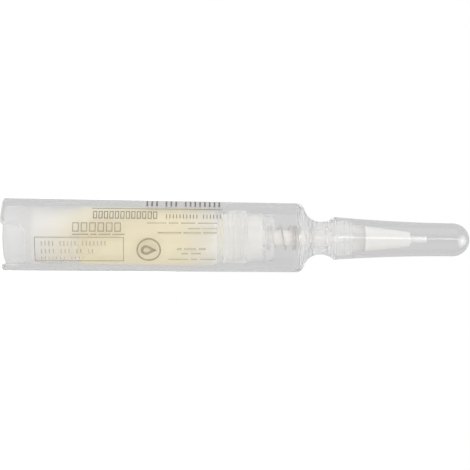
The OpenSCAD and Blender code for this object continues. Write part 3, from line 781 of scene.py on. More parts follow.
def rear_boundary(s, d, radius, count):
    """The sleeve's rear edge, rim and thumb notch in one closed curve, as turns and heights at even
    steps. In the notch it is a rounded polygon in the plane across the notch, where a place x from
    the middle lies at the turn asin(x / r); the rest is the rim's circle."""
    v = s.sleeve
    half = v.notch_width / 2
    far = half + 2.4 * v.notch_round
    corners = [[-far, 0], [-half, 0], [-half, v.notch_depth], [half, v.notch_depth], [half, 0],
               [far, 0]]
    reach = [0, v.notch_round, v.notch_corner, v.notch_corner, v.notch_round, 0]
    shift = 1  # rounded() leaves a corner at zero radius alone, so the plane is shifted away from it
    plane = rounded(np.asarray(corners) + [shift, 0], reach, 24, False) - [shift, 0]
    notch_turns, notch_heights = np.arcsin(plane[:, 0] / radius), plane[:, 1]
    rim_turns = np.linspace(notch_turns[-1], 2 * np.pi + notch_turns[0], 400)[1:-1]
    turns = np.concatenate([notch_turns, rim_turns])
    heights = np.concatenate([notch_heights, np.zeros(len(rim_turns))])
    turns, heights = np.append(turns, turns[0] + 2 * np.pi), np.append(heights, heights[0])
    # Even steps are measured on the outer wall, so that both walls share them
    outer = np.append(np.arcsin(plane[:, 0] / d.sleeve_rear), rim_turns)
    outer = np.append(outer, outer[0] + 2 * np.pi) * d.sleeve_rear
    along = np.concatenate([[0], np.cumsum(np.hypot(np.diff(outer), np.diff(heights)))])
    even = np.linspace(0, along[-1], count, endpoint=False)
    return np.interp(even, along, turns) + v.notch_turn, np.interp(even, along, heights)


def make_sleeve(s):
    """The clear outer sleeve with its front wall, waist, flange, cap seat and spigot.

    Columns run along the axis and rows follow the section. Behind the notch's land the rows run
    straight from the rear edge's curve to an even circle, on the cylinder of that wall."""
    d, v = places(s), s.sleeve
    count = s.columns * 2
    r_out, r_in = d.sleeve_rear, d.sleeve_rear - v.wall
    land = d.rear_land + 3.4 * MM
    land_r = float(sleeve_radius(d, land))
    corner = v.corner / 2
    corner_z = d.inner_front_z - corner
    inner_end = float(sleeve_radius(d, corner_z)) - v.wall
    bead_heights = [d.seat_z + (i - 0.1) * v.seat / 3.5 for i in (1, 2, 3)]
    stem_hole = s.pump.stem + PRESS
    outer = np.concatenate([
        steps_between([land_r, land], [d.sleeve_front, d.corner_z], 20),
        arc((d.corner_x, d.corner_z), v.corner, 0, d.corner_turn, 26),
        arc((d.rear_curve_x, d.waist_z), v.rear_curve, np.pi + d.corner_turn, np.pi, 36),
        arc((d.front_curve_x, d.waist_z), v.front_curve, np.pi, np.pi - d.flare, 24),
    ])
    front = rounded(np.concatenate([
        [[v.flange, d.flange_edge_z], [v.flange, d.seat_z], [d.seat_r, d.seat_z]],
        beads(d.seat_r, v.bead, v.bead_width, bead_heights),
        [[d.seat_r, d.seat_end_z], [d.spigot_r, d.seat_end_z], [d.spigot_tip_r, d.spigot_end_z],
         [v.channel, d.spigot_end_z], [v.channel, d.stem_end_z], [stem_hole, d.stem_end_z],
         [stem_hole, d.inner_front_z], [inner_end - corner, d.inner_front_z]],
    ]), 0.12 * MM, 4, False)
    inside = np.concatenate([
        arc((inner_end - corner, corner_z), corner, np.pi / 2, 0, 14),
        steps_between([inner_end, corner_z], [land_r - v.wall, land], 18)[1:],
        [[land_r - v.wall, land]],
    ])
    section = np.concatenate([outer, front, inside])
    section = section[np.append(True, np.linalg.norm(np.diff(section, axis=0), axis=1) > 1e-8)]
    even = np.arange(count) / count * 2 * np.pi + rear_boundary(s, d, r_out, count)[0][0]

    def edge_row(radius, offset):
        """The rear edge at a radius, moved into the wall by an offset."""
        turns, z = rear_boundary(s, d, radius, count)
        closed = np.concatenate([[turns[-1] - 2 * np.pi], turns, [turns[0] + 2 * np.pi]])
        run, rise = (closed[2:] - closed[:-2]) * radius, np.roll(z, -1) - np.roll(z, 1)
        size = np.hypot(run, rise)
        return turns - rise / size * offset / radius, z + run / size * offset

    def wall_rows(radius, wall, t):
        """Rows of one wall, from the rear edge's curve at t = 0 to an even circle at t = 1."""
        turns, z = edge_row(radius, v.rim)
        heights = z * (1 - t) + land * t
        return around(sleeve_radius(d, heights) - wall, turns * (1 - t) + even * t, heights)

    phi = np.linspace(0, np.pi / 2, 5)
    across, up = v.rim * (1 - np.cos(phi)), v.rim * (1 - np.sin(phi))
    rim = [*zip(r_in + across, up), *zip(r_out - across[::-1], up[::-1])][1:-1]
    t = np.linspace(1, 0, 16)[:, None]
    points = np.concatenate([
        wall_rows(r_in, v.wall, t),
        [around(r, *edge_row(r, offset)) for r, offset in rim],
        wall_rows(r_out, 0, t[::-1]),
        around(section[:, :1], even, section[:, 1:])[1:-1],
    ])
    piece = smooth_mesh("sleeve", points, grid_faces(len(points), count), finish_for(s, "clear"))
    reach, z, out = face_places(piece)
    near = 0.1 * MM
    give_faces(s, piece, {
        "thick": (z > d.inner_front_z - near) & (reach > s.pump.stem + 0.3 * MM),
        "root": z > d.seat_z,
        "flange": (z > d.flange_edge_z - near) & (z < d.seat_z + near),
        "edge": (z < d.rear_land + 1 * MM) & (np.abs(out) < 0.985),
    })


def make_cap(s):
    """The clear domed cap. Its radius is the dome's plus a share of what the flange has over it: the
    height left to the dome, as a share of the whole, raised to the power of the curve."""
    d, c = places(s), s.cap
    grip_z = d.seat_end_z + SLIDE

    def radius(z):
        t = np.clip((d.dome_z - z) / (d.dome_z - d.cap_z), 0, 1)
        return c.dome_radius + (s.sleeve.flange - c.dome_radius) * t ** c.curve

    up, down = np.linspace(d.cap_z, d.dome_z, 40)[:-1], np.linspace(d.dome_z, grip_z, 36)[1:]
    section = np.concatenate([
        rounded([[d.cap_bore, grip_z], [d.cap_bore, d.cap_z], [radius(d.cap_z), d.cap_z],
                 [radius(up[1]), up[1]]], 0.14 * MM, 5, False),
        np.stack([radius(up[2:]), up[2:]], -1),
        quarter_ellipse(c.dome_radius, c.dome, d.dome_z),
        quarter_ellipse(c.dome_radius - c.wall, c.dome - c.wall, d.dome_z)[::-1],
        np.stack([radius(down) - c.wall, down], -1),
    ])
    turned("cap_shell", section, finish_for(s, "cap"), s.columns)


def make_nozzle(s):
    """The white nozzle and its thin tube."""
    d, n = places(s), s.nozzle
    tube_hole = n.tube + PRESS
    section = rounded([
        [d.spigot_r + PRESS, d.seat_end_z], [n.base, d.seat_end_z], [n.knee, d.spigot_end_z],
        [n.tip, d.nozzle_end_z - n.chamfer], [n.tip - n.chamfer, d.nozzle_end_z],
        [tube_hole, d.nozzle_end_z], [tube_hole, d.tube_z], [n.channel, d.tube_z],
        [n.channel, d.outlet_room_z], [d.outlet_room_r, d.outlet_room_z],
        [d.outlet_room_r, d.spigot_end_z], [d.spigot_tip_r + PRESS, d.spigot_end_z],
    ], 0.1 * MM)
    turned("nozzle_cone", section, finish_for(s, "white"), s.columns)
    tip = (n.tube - n.tube_bore) * 0.6
    thick, thick_z = n.tube + n.sleeve_height, d.nozzle_end_z + n.sleeve_length
    section = np.concatenate([
        rounded([[n.tube_bore, d.tube_z + 1 * MM], [n.tube_bore, d.tube_z], [n.tube, d.tube_z],
                 [n.tube, d.nozzle_end_z], [thick, d.nozzle_end_z], [thick, thick_z],
                 [n.tube, thick_z], [n.tube, thick_z + 0.4 * MM]], 0.06 * MM, 4, False),
        arc((n.tube - tip, d.tube_end_z - tip), tip, 0, np.pi / 2, 8),
        [[n.tube_bore, d.tube_end_z]],
    ])
    turned("tip_tube", section, finish_for(s, "tube"), s.columns // 2)


def make_bottle(s):
    """The frosted bottle with its threaded neck, and the base plug that is pressed."""
    d, b = places(s), s.bottle
    corner = b.wall * 0.9
    first, top = d.neck_z + 0.8 * MM, d.neck_end_z
    run_out, top_edge = 0.5 * MM, top - 0.1 * MM
    slope_z = d.shoulder_z - b.wall

    def thread(r, a, z):
        """A ridge that climbs one pitch a turn: proud where the height's phase is near the turn's."""
        phase = (z - first) / b.thread_pitch - a / (2 * np.pi)
        ridge = np.clip((0.3 - np.abs((phase + 0.5) % 1 - 0.5)) / 0.14, 0, 1)
        ends = np.clip((z - first) / run_out, 0, 1) * np.clip((top - run_out - z) / run_out, 0, 1)
        return b.thread * ridge * ends * (np.abs(r - d.neck_r) < 1e-6) * (z > first)

    section = np.concatenate([
        rounded([[d.bottle_in, d.bottle_z + 5 * MM], [d.bottle_in, d.bottle_z],
                 [b.radius, d.bottle_z], [b.radius, d.bottle_z + 5 * MM]], 0.12 * MM, 4, False),
        steps_between([b.radius, d.follower_z], [b.radius, d.shoulder_z - corner], 10),
        arc((b.radius - corner, d.shoulder_z - corner), corner, 0, np.pi / 2, 10),
        rounded([[d.neck_r + 1 * MM, d.neck_z - 0.7 * MM], [d.neck_r, d.neck_z - 0.2 * MM],
                 [d.neck_r, first]], 0.1 * MM, 3, False),
        steps_between([d.neck_r, first], [d.neck_r, top_edge], 70)[1:],
        rounded([[d.neck_r, top_edge], [d.neck_r, top], [d.neck_in, top], [d.neck_in, d.neck_z],
                 [d.bottle_in, slope_z], [d.bottle_in, slope_z - 1 * MM]],
                [0, 0.05 * MM, 0.1 * MM, 0.4 * MM, 0.5 * MM, 0], 4, False),
        steps_between([d.bottle_in, slope_z - 2 * MM], [d.bottle_in, d.follower_z], 10),
        [[d.bottle_in, d.follower_z]],
    ])
    piece = turned("bottle_shell", section, finish_for(s, "frosted"), s.columns, thread)
    z = face_places(piece)[1]
    give_faces(s, piece, {"empty": z < d.follower_z, "neck": z > d.neck_z - b.wall})
    skirt, edge, dish = d.bottle_in - PRESS, b.base * 0.75, b.base * 0.25
    skirt_in, skirt_end_z, dish_r = skirt - b.wall, d.bottle_z + b.base_skirt, b.radius * 0.7
    section = np.concatenate([
        rounded([[b.vent, d.bottle_z], [b.vent, d.base_z + dish],
                 [dish_r * 0.6, d.base_z + dish * 0.7], [dish_r, d.base_z],
                 [b.radius - edge, d.base_z]], [0, 0.1 * MM, 2 * MM, 0.8 * MM, 0], 6, False),
        arc((b.radius - edge, d.base_z + edge), edge, -np.pi / 2, 0, 10)[1:],
        rounded([[b.radius, d.bottle_z - 0.2 * MM], [b.radius, d.bottle_z], [skirt, d.bottle_z],
                 [skirt, skirt_end_z], [skirt_in, skirt_end_z], [skirt_in, d.bottle_z],
                 [b.vent, d.bottle_z]], 0.12 * MM, 4, False),
    ])
    piece = turned("thumb_base", section, finish_for(s, "base"), s.columns)
    reach, z, _ = face_places(piece)
    give_faces(s, piece, {"base_edge": (reach > b.radius - edge) & (z < d.bottle_z)})


def make_contents(s):
    """The follower piston and the paste in front of it."""
    d, b = places(s), s.bottle
    r, lip_wall = d.bottle_in - SLIDE, 0.7 * MM
    skirt = r - 0.35 * MM
    hollow = skirt - b.follower_wall
    rear, front, step = d.follower_z + b.lip, d.follower_front_z, 0.4 * MM
    section = rounded([
        [r - lip_wall, d.follower_z], [r, d.follower_z], [r, rear], [skirt, rear + step],
        [skirt, front - step], [r, front], [r, d.lip_end_z], [r - lip_wall, d.lip_end_z],
        [r - lip_wall, front], [0, front], [0, front - b.follower_wall],
        [hollow, front - b.follower_wall], [hollow, rear],
    ], 0.16 * MM)
    turned("follower", section, finish_for(s, "natural"), s.columns)
    # The paste wets the bottle, so it reaches a little into its wall
    wet = 0.01 * MM
    face, wall = r - lip_wall - PASTE_GAP, d.bottle_in + wet
    neck, end = d.neck_in + wet, d.cylinder_z - PASTE_GAP
    start = front + PASTE_GAP
    section = rounded([
        [0, start], [face, start], [face, d.lip_end_z + PASTE_GAP], [wall, d.lip_end_z + PASTE_GAP],
        [wall, d.shoulder_z - b.wall - PASTE_GAP], [neck, d.neck_z - PASTE_GAP], [neck, end],
        [0, end],
    ], [0, 0.1 * MM, 0.1 * MM, 0.2 * MM, 0.5 * MM, 0.4 * MM, 0.15 * MM, 0])
    piece = turned("paste_fill", section, finish_for(s, "paste"), s.columns)
    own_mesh(piece)


def make_collar(s):
    """The screwed collar: a skirt over the neck's thread, and the cup that holds the spring."""
    d, p = places(s), s.pump
    skirt_z, clamp_z = d.neck_z + 0.3 * MM, d.head_z + PRESS
    chamfer, taper, mouth = 0.3 * MM, 0.25 * MM, 0.2 * MM
    step_z, bore = clamp_z + 0.6 * MM, d.cup_r - p.cup_wall
    hole = p.stem + 2 * SLIDE
    floor_taper = taper * (d.floor_z - step_z) / (d.cup_end_z - step_z)
    section = rounded([
        [d.thread_r + SLIDE, skirt_z], [d.collar_r, skirt_z], [d.collar_r, step_z - chamfer],
        [d.collar_r - chamfer, step_z], [d.cup_r, step_z], [d.cup_r - floor_taper, d.floor_z],
        [d.cup_r - taper, d.cup_end_z], [bore - mouth, d.cup_end_z], [bore - mouth, d.cup_z],
        [hole, d.cup_z], [hole, d.floor_z], [bore, d.floor_z], [bore, clamp_z],
        [d.thread_r + SLIDE, clamp_z],
    ], 0.14 * MM)
    piece = turned("collar", section, finish_for(s, "collar"), s.columns)
    give_faces(s, piece, {"cup": face_places(piece)[1] > d.floor_z})


def make_pump(s):
    """The cylinder with its bush and gasket, and the stem with the dosing piston."""
    d, p = places(s), s.pump
    columns = s.columns * 3 // 4
    seat_r, ledge_r, room_r = p.bore - 0.4 * MM + PRESS, 1.2 * MM, 2.0 * MM
    ledge_z, seat_end = d.bore_z - 0.5 * MM, d.cylinder_z + 0.9 * MM
    flange, bush_hole, head_in = d.thread_r - PRESS, d.bush_r + PRESS, d.head_r - p.wall
    section = rounded([
        [seat_r, d.cylinder_z], [d.cylinder_r, d.cylinder_z], [d.cylinder_r, d.flange_z],
        [flange, d.flange_z], [flange, d.head_z], [d.head_r, d.head_z], [d.head_r, d.head_end_z],
        [head_in, d.head_end_z], [head_in, d.head_z], [d.cylinder_r, d.head_z],
        [d.cylinder_r, d.head_end_z], [bush_hole, d.head_end_z], [bush_hole, d.bush_z],
        [p.bore, d.bush_z], [p.bore, d.bore_z], [ledge_r, d.bore_z], [ledge_r, ledge_z],
        [room_r, ledge_z], [room_r, seat_end], [seat_r, seat_end],
    ], 0.1 * MM)
    turned("cylinder", section, finish_for(s, "cylinder"), columns)
    for name, kind, outer, inner, start, end in (
            ("bush", "pump", d.bush_r, p.stem + SLIDE, d.bush_z, d.head_end_z),
            ("gasket_ring", "seal", d.neck_r, d.cylinder_r + PRESS, d.neck_end_z, d.flange_z),
            ("stem_rod", "stem", p.stem, p.stem_bore, d.stem_z, d.stem_end_z)):
        section = rounded([[inner, start], [outer, start], [outer, end], [inner, end]], 0.08 * MM)
        turned(name, section, finish_for(s, kind), columns)
    waist, full, end = p.bore - 0.3 * MM, p.bore - SLIDE, d.piston_z + p.piston
    lip, slope = 0.7 * MM, 0.2 * MM
    section = rounded([
        [p.stem_bore, d.piston_z], [full, d.piston_z], [full, d.piston_z + lip],
        [waist, d.piston_z + lip + slope], [waist, end - lip - slope], [full, end - lip],
        [full, end], [p.stem, end], [p.stem, d.stem_z], [p.stem_bore, d.stem_z],
    ], 0.07 * MM)
    turned("piston", section, finish_for(s, "pump"), columns)


def make_spring(s):
    """The coil spring. Its middle line rises by the close pitch in its end turns and by the open
    pitch between them, and the wire's ring is (R + w cos b) out and w sin b up from it."""
    d, p = places(s), s.pump
    close_turns = p.rear_turns + p.front_turns
    total = p.open_turns + close_turns
    wide = (p.spring - p.wire - close_turns * p.close_pitch) / p.open_turns
    sides, a_turn, blend = 16, 72, 10
    t = np.linspace(0, total, int(total * a_turn))
    pitch = np.where((t > p.rear_turns) & (t < p.rear_turns + p.open_turns), wide, p.close_pitch)
    window = 2 * blend + 1
    pitch = np.convolve(np.pad(pitch, blend, "edge"), np.ones(window) / window, "valid")
    rise = np.concatenate([[0], np.cumsum((pitch[1:] + pitch[:-1]) / 2 * np.diff(t))])
    rise *= (p.spring - p.wire) / rise[-1]
    # Both ends of the wire are half a ball
    end = np.minimum(t, total - t) * 2 * np.pi * p.coil / (p.wire / 2)
    thick = p.wire / 2 * np.sqrt(1 - np.clip(1 - end, 0, 1) ** 2)
    b = np.linspace(0, 2 * np.pi, sides, endpoint=False)[None, :]
    a = t[:, None] * 2 * np.pi
    r = p.coil + thick[:, None] * np.cos(b)
    z = d.cup_z + SLIDE + p.wire / 2 + rise[:, None] + thick[:, None] * np.sin(b)
    points = np.stack([r * np.cos(a), r * np.sin(a), z], -1)
    faces = grid_faces(len(t), sides, False)[:, ::-1]
    piece = smooth_mesh("spring", points, faces, finish_for(s, "steel"), 60)
    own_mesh(piece)


# Print

# Rows by ink: where a row starts and ends as shares of the print's length, its turn in degrees, its
# height in millimetres, the letters of each word, and how much of its place a letter fills. Where
# that is 0, each word is one dash. The pale rows start 2 mm inside the framed box.
INSET = 2 / 58.8
ROWS = {
    "dark": [(0.587, 1, -68, 4, [3, 3, 8], 0.34), (0.3, 1, -50.2, 0.17, [1], 1),
             (0.695, 1, -34.6, 1.5, [10, 6], 0.25)],
    "brown": [(0.2, 0.477, -3.8, 0.32, [8, 3, 6, 6], 0)],
    "pale": [(INSET, 0.39, 10.4, 1.5, [4, 5, 7], 0.33), (INSET, 0.325, 23.4, 1.5, [4, 3, 2, 2], 0.33),
             (INSET, 0.273, 35.9, 0.95, [7, 4], 0.26)],
    "gold": [(0.594, 0.966, -22.4, 0.32, [8, 4, 6, 8], 0), (0.812, 0.966, -13.2, 0.24, [5, 6], 0),
             (0.652, 0.966, -6.5, 0.46, [12, 9, 7], 0), (0.754, 0.908, 19.8, 0.46, [2, 5, 3], 0),
             (0.78, 0.882, 28, 0.42, [2, 3], 0), (0.708, 0.96, 39, 0.3, [9, 3, 7], 0)],
}

# Frames by ink: start and end of their row as shares of the print's length, how many, how much of its
# place each fills, the turns of their upper and lower sides in degrees, and their share of the line
FRAMES = {
    "dark": [(0.307, 0.655, 12, 0.72, -44, -30, 0.78)],
    "brown": [(0.2, 0.467, 6, 0.76, -22.8, -8.1, 0.9), (0, 0.473, 1, 1, 0.2, 42.6, 0.7)],
}

# The round mark's place as a share of the print's length, and its turn in degrees
MARK_PLACE, MARK_TURN = 0.605, 21.8


def word_bars(start, end, angle, height, words, fill):
    """A row of words between two heights, as bars of (start, end, turn, height round the sleeve)."""
    word = np.repeat(np.arange(len(words)), words)
    pitch = (end - start) / (len(word) + len(words) - 1)
    begin = start + (np.arange(len(word)) + word) * pitch
    if fill:
        return [(z, z + pitch * fill, angle, height) for z in begin]
    first = np.cumsum([0, *words[:-1]])
    return [(begin[i], begin[i] + n * pitch, angle, height) for i, n in zip(first, words)]


def patch_mesh(d, ink, turns, heights):
    """Points and faces of thin closed plates on the sleeve. Turns and heights are arrays of shape
    (plates, rows, columns); a plate's back lies on the sleeve and its face an ink's thickness out."""
    plates, rows, columns = turns.shape
    back = around(sleeve_radius(d, heights) + 0.002 * MM, turns, heights)
    face = around(sleeve_radius(d, heights) + ink, turns, heights)
    points = np.stack([face, back], 1).reshape(plates, -1, 3)
    quads = grid_faces(rows, columns, False, False)
    n = rows * columns
    index = np.arange(n).reshape(rows, columns)
    rim = np.concatenate([index[0, :-1], index[:-1, -1], index[-1, :0:-1], index[:0:-1, 0]])
    after = np.roll(rim, -1)
    walls = np.stack([rim, rim + n, after + n, after], -1)
    template = np.concatenate([quads, quads[:, ::-1] + n, walls])
    faces = template[None] + (np.arange(plates) * 2 * n)[:, None, None]
    return points.reshape(-1, 3), faces.reshape(-1, 4)


def bar_patches(d, bars):
    """Turns and heights of bars, with columns close enough to follow the sleeve."""
    start, end, angle, height = np.asarray(bars, float).T[:, :, None, None]
    u = np.linspace(-0.5, 0.5, 9)[None, None, :]
    v = np.linspace(0, 1, 2)[None, :, None]
    heights = start + (end - start) * v + 0 * u
    turns = np.radians(angle) + u * height / sleeve_radius(d, start) + 0 * v
    return turns, heights


def frame_patches(d, start, end, turn_a, turn_b, line):
    """A rectangle's four mitred sides. Each side's patch runs from its outer to its inner edge."""
    a, b = math.radians(turn_a), math.radians(turn_b)
    k = line / float(sleeve_radius(d, (start + end) / 2))
    outer = np.array([[a, start], [b, start], [b, end], [a, end]])
    inner = outer + np.array([[k, line], [-k, line], [-k, -line], [k, -line]])
    t = np.linspace(0, 1, 17)[None, None, :, None]
    first = np.stack([outer, inner], 1)[:, :, None, :]
    patch = first * (1 - t) + np.roll(first, -1, 0) * t
    return patch[..., 0], patch[..., 1]


def flat_patch(d, z, points_x, points_z):
    """A flat shape wrapped round the mark's turn: x is measured round the sleeve and z along it."""
    r = float(sleeve_radius(d, z))
    return math.radians(MARK_TURN) + np.arcsin(points_x / r), z + points_z


def drop_reach(a, tip=2.1, half=math.radians(60)):
    """A drop's outline as a reach at a turn, for a round part of radius 1: within the half turn it is
    the straight side from the circle to the tip, d / (x cos a + y |sin a|), and elsewhere 1."""
    side = np.array([math.sin(half), tip - math.cos(half)])
    side /= np.linalg.norm(side)
    straight = side[0] * tip / np.maximum(side[0] * np.cos(a) + side[1] * np.abs(np.sin(a)), 0.1)
    return np.where(np.cos(a) > math.cos(half), straight, 1)


def mark_patches(d, m, z):
    """The round mark: a ring around a drop, both from an inner to an outer line."""
    a = np.linspace(0, 2 * np.pi, 97)[None, None, :]
    ring = np.array([m.mark - m.mark_line, m.mark])[None, :, None]
    drop = m.mark * 0.42 * drop_reach(a) * np.array([0.5, 1])[None, :, None]
    return [flat_patch(d, z, ring * np.sin(a), ring * np.cos(a)),
            flat_patch(d, z - m.mark * 0.22, drop * np.sin(a), drop * np.cos(a))]


def make_print(s):
    """The print as plain rows, dashes, a framed box and a ring with a drop, in five inks, each one
    piece. The rows lean: their turn grows evenly towards the print's start."""
    d, m = places(s), s.marks
    span = m.end - m.start
    for kind in ("dark", "brown", "pale", "mark", "gold"):
        bars = [bar for start, end, angle, height, words, fill in ROWS.get(kind, [])
                for bar in word_bars(m.start + span * start, m.start + span * end, angle,
                                     height * MM, words, fill)]
        patches = [bar_patches(d, bars)] if bars else mark_patches(d, m, m.start + span * MARK_PLACE)
        for start, end, count, fill, turn_a, turn_b, line in FRAMES.get(kind, []):
            pitch = span * (end - start) / count
            patches += [frame_patches(d, z, z + fill * pitch, turn_a, turn_b, m.line * line)
                        for z in m.start + span * start + np.arange(count) * pitch]
        points, faces, base = [], [], 0
        for turns, heights in patches:
            lean = m.skew * (m.end - heights) / span
            plate_points, plate_faces = patch_mesh(d, m.ink, turns + lean, heights)
            points.append(plate_points)
            faces.append(plate_faces + base)
            base += len(plate_points)
        smooth_mesh("print_" + kind, np.concatenate(points), np.concatenate(faces),
                    finish_for(s, kind), 30)


def dress_hidden(s):
    """Finishes for the small CAD pieces that stay as they are."""
    for node, kind in HIDDEN.items():
        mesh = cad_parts[node].data
        mesh.materials.clear()
        mesh.materials.append(finish_for(s, kind))


# Stage

# Each lamp: its width and height, its place and what it points at, in metres
LAMPS = {
    "key": (0.5, 0.6, (-0.49, -0.29, 0.1), (0, 0, 0.07)),
    "fill": (0.5, 0.6, (0.4, -0.4, 0.1), (0, 0, 0.07)),
    "line": (0.09, 0.3, (-0.05, -0.46, 0.3), (0, 0, 0.11)),
    "end": (0.6, 0.6, (0.038, -0.13, 0.4), (0, 0, 0.145)),
}


def backdrop_masks(tree):
    """Masks of what plastic and steel show before any diffuse bounce, and of the camera's own view."""
    path = add(tree, "LightPath")
    first = calculate(tree, "LESS_THAN", path["Diffuse Depth"], 0.5)
    mirror = calculate(tree, "MAXIMUM", path["Is Glossy Ray"], path["Is Transmission Ray"])
    return calculate(tree, "MULTIPLY", mirror, first), path["Is Camera Ray"]


def make_world(s):
    """White where the camera looks, the same paper a little darker in plastic and steel, and even
    light for everything that a diffuse bounce has left."""
    world = bpy.data.worlds.new("studio")
    bpy.context.scene.world = world
    world.use_nodes = True
    tree = world.node_tree
    tree.nodes.clear()
    shown, camera = backdrop_masks(tree)
    level = mixed(tree, shown, s.stage.ambient, s.stage.seen_through, "FLOAT")
    strength = mixed(tree, camera, level, 1.0, "FLOAT")
    back = add(tree, "Background", {"Color": (1, 1, 1, 1), "Strength": strength})[0]
    add(tree, "OutputWorld", {"Surface": back})
    world.cycles.sampling_method = "NONE"


def make_floor(s):
    """A pale round floor under the rear rim. It keeps a soft shadow and reads as white paper."""
    radius, below, sides = 4, 0.03 * MM, 64
    # The paper's own colour, how strongly it glows where the camera looks, and how much of that counts
    paper, glow, whitened = 0.82, 1.3, 0.7
    material, tree = new_material("studio_floor")
    shown, camera = backdrop_masks(tree)
    cover = calculate(tree, "MULTIPLY_ADD", camera, whitened, shown)
    strength = mixed(tree, camera, s.stage.seen_through, glow, "FLOAT")
    matt = add(tree, "BsdfDiffuse", {"Color": rgba([paper] * 3)})[0]
    white = add(tree, "Emission", {"Color": (1, 1, 1, 1), "Strength": strength})[0]
    surface = add(tree, "MixShader", {"Fac": cover, 1: matt, 2: white})[0]
    add(tree, "OutputMaterial", {"Surface": surface})
    a = np.linspace(0, 2 * np.pi, sides, endpoint=False)
    rim = np.stack([radius * np.cos(a), radius * np.sin(a), np.full(sides, -below)], -1)
    mesh = bpy.data.meshes.new("floor")
    mesh.from_pydata(rim.tolist(), [], [list(range(sides))])
    mesh.materials.append(material)
    place_new("floor", mesh)


def make_lamp(name, power, across, along, place, target):
    """A soft rectangular lamp that is seen in gloss, and not through the plastic."""
    lamp = bpy.data.lights.new(name, "AREA")
    lamp.shape, lamp.size, lamp.size_y, lamp.energy = "RECTANGLE", across, along, power
    thing = place_new(name, lamp)
    away = Vector(place) - Vector(target)
    side = Vector((0, 0, 1)).cross(away).normalized()
    up = away.cross(side).normalized()
    axes = Matrix((side, up, away.normalized())).transposed()
    thing.matrix_world = Matrix.Translation(place) @ axes.to_4x4()
    thing.visible_camera = thing.visible_transmission = False
    return thing


def swung(a, b, angle):
    """Two directions turned in their plane, the first towards the second."""
    return a * math.cos(angle) + b * math.sin(angle), b * math.cos(angle) - a * math.sin(angle)


def make_camera(s):
    """The camera of the photograph: it lies on its side, with +Z to the right and -X up."""
    g = s.stage
    ahead, right, up = Vector((0, 1, 0)), Vector((0, 0, 1)), Vector((-1, 0, 0))
    ahead, right = swung(ahead, right, g.yaw)
    ahead, up = swung(ahead, up, g.pitch)
    right, up = swung(right, up, g.roll)
    data = bpy.data.cameras.new("camera")
    data.lens, data.sensor_width, data.clip_start, data.clip_end = g.focal, 36, 0.01, 20
    camera = place_new("camera", data)
    axes = Matrix((right, up, -ahead)).transposed()
    place = (0, -g.camera_distance, g.camera_height)
    camera.matrix_world = Matrix.Translation(place) @ axes.to_4x4()
    bpy.context.scene.camera = camera


def make_stage(s):
    """Backdrop, floor, lamps and camera. The end lamp lights the cap's dome only."""
    scene = bpy.context.scene
    scene.view_settings.view_transform = "Standard"
    # Light goes round in the thick clear walls of the neck and the notch for long
    scene.cycles.max_bounces = scene.cycles.transmission_bounces = 32
    scene.cycles.glossy_bounces = scene.cycles.diffuse_bounces = 16
    scene.cycles.transparent_max_bounces = 32
    make_world(s)
    make_floor(s)
    lamps = {name: make_lamp(name, getattr(s.stage, name), *row) for name, row in LAMPS.items()}
    end = lamps["end"]
    end.data.shape = "DISK"
    end.data.spread = s.stage.end_spread
    end.visible_diffuse = False
    end.light_linking.receiver_collection = bpy.data.collections.new("dome_only")
    end.light_linking.receiver_collection.objects.link(bpy.data.objects["cap_shell"])
    make_camera(s)


# Operators and panel

class SYRINGE_OT_make_sleeve(Operator):
    """Makes the clear outer sleeve"""
    bl_idname = "syringe.make_sleeve"
    bl_label = "Sleeve"
    bl_options = {"REGISTER", "UNDO"}

    def execute(self, context):
        make_sleeve(context.scene.paste_syringe)
        return {"FINISHED"}


class SYRINGE_OT_make_cap(Operator):
    """Makes the clear domed cap"""
    bl_idname = "syringe.make_cap"
    bl_label = "Cap"
    bl_options = {"REGISTER", "UNDO"}

    def execute(self, context):
        make_cap(context.scene.paste_syringe)
        return {"FINISHED"}


class SYRINGE_OT_make_nozzle(Operator):
    """Makes the white nozzle and its thin tube"""
    bl_idname = "syringe.make_nozzle"
    bl_label = "Nozzle and tube"
    bl_options = {"REGISTER", "UNDO"}

    def execute(self, context):
        make_nozzle(context.scene.paste_syringe)
        return {"FINISHED"}


class SYRINGE_OT_make_bottle(Operator):
    """Makes the frosted bottle and the base that is pressed"""
    bl_idname = "syringe.make_bottle"
    bl_label = "Bottle and base"
    bl_options = {"REGISTER", "UNDO"}

    def execute(self, context):
        make_bottle(context.scene.paste_syringe)
        return {"FINISHED"}


class SYRINGE_OT_make_contents(Operator):
    """Makes the follower piston and the paste"""
    bl_idname = "syringe.make_contents"
    bl_label = "Follower and paste"
    bl_options = {"REGISTER", "UNDO"}

    def execute(self, context):
        make_contents(context.scene.paste_syringe)
        return {"FINISHED"}


class SYRINGE_OT_make_collar(Operator):
    """Makes the screwed collar with its cup"""
    bl_idname = "syringe.make_collar"
    bl_label = "Collar"
    bl_options = {"REGISTER", "UNDO"}

    def execute(self, context):
        make_collar(context.scene.paste_syringe)
        return {"FINISHED"}


class SYRINGE_OT_make_pump(Operator):
    """Makes the cylinder, bush, gasket, stem and dosing piston"""
    bl_idname = "syringe.make_pump"
    bl_label = "Pump"
    bl_options = {"REGISTER", "UNDO"}

    def execute(self, context):
        make_pump(context.scene.paste_syringe)
        return {"FINISHED"}


class SYRINGE_OT_make_spring(Operator):
    """Makes the coil spring"""
    bl_idname = "syringe.make_spring"
    bl_label = "Spring"
    bl_options = {"REGISTER", "UNDO"}

    def execute(self, context):
        make_spring(context.scene.paste_syringe)
        return {"FINISHED"}


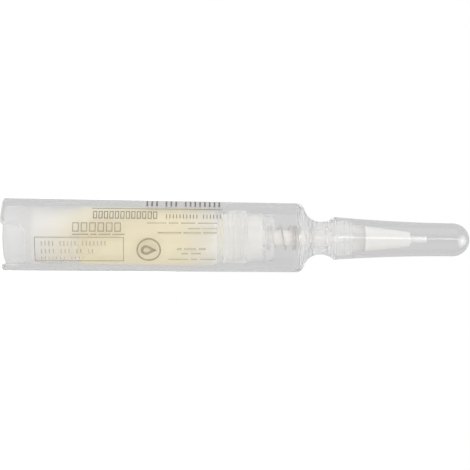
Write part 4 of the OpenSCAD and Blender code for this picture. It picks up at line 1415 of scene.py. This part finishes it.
class SYRINGE_OT_make_print(Operator):
    """Makes the print in its five inks"""
    bl_idname = "syringe.make_print"
    bl_label = "Print"
    bl_options = {"REGISTER", "UNDO"}

    def execute(self, context):
        make_print(context.scene.paste_syringe)
        return {"FINISHED"}


class SYRINGE_OT_dress_hidden(Operator):
    """Gives the small hidden pieces their finishes"""
    bl_idname = "syringe.dress_hidden"
    bl_label = "Hidden pieces"
    bl_options = {"REGISTER", "UNDO"}

    def execute(self, context):
        dress_hidden(context.scene.paste_syringe)
        return {"FINISHED"}


class SYRINGE_OT_make_stage(Operator):
    """Makes the backdrop, floor, lamps and camera"""
    bl_idname = "syringe.make_stage"
    bl_label = "Stage"
    bl_options = {"REGISTER", "UNDO"}

    def execute(self, context):
        make_stage(context.scene.paste_syringe)
        return {"FINISHED"}


STEPS = [SYRINGE_OT_make_sleeve, SYRINGE_OT_make_cap, SYRINGE_OT_make_nozzle,
         SYRINGE_OT_make_bottle, SYRINGE_OT_make_contents, SYRINGE_OT_make_collar,
         SYRINGE_OT_make_pump, SYRINGE_OT_make_spring, SYRINGE_OT_make_print,
         SYRINGE_OT_dress_hidden, SYRINGE_OT_make_stage]


class SYRINGE_PT_panel(Panel):
    """Lists the steps that make the syringe."""
    bl_idname = "SYRINGE_PT_panel"
    bl_label = "Paste syringe"
    bl_space_type = "VIEW_3D"
    bl_region_type = "UI"
    bl_category = "Syringe"

    def draw(self, context):
        for step in STEPS:
            self.layout.operator(step.bl_idname)


CLASSES = [SleeveSizes, CapSizes, NozzleSizes, BottleSizes, PumpSizes, PrintSizes, Finishes,
           StageSettings, SyringeSettings, *STEPS, SYRINGE_PT_panel]


def register():
    for made in CLASSES:
        bpy.utils.register_class(made)
    bpy.types.Scene.paste_syringe = PointerProperty(type=SyringeSettings)


def unregister():
    del bpy.types.Scene.paste_syringe
    for made in reversed(CLASSES):
        bpy.utils.unregister_class(made)


def main():
    register()
    for step in STEPS:
        getattr(bpy.ops.syringe, step.bl_idname.split(".")[1])()


if __name__ == "__main__":
    main()
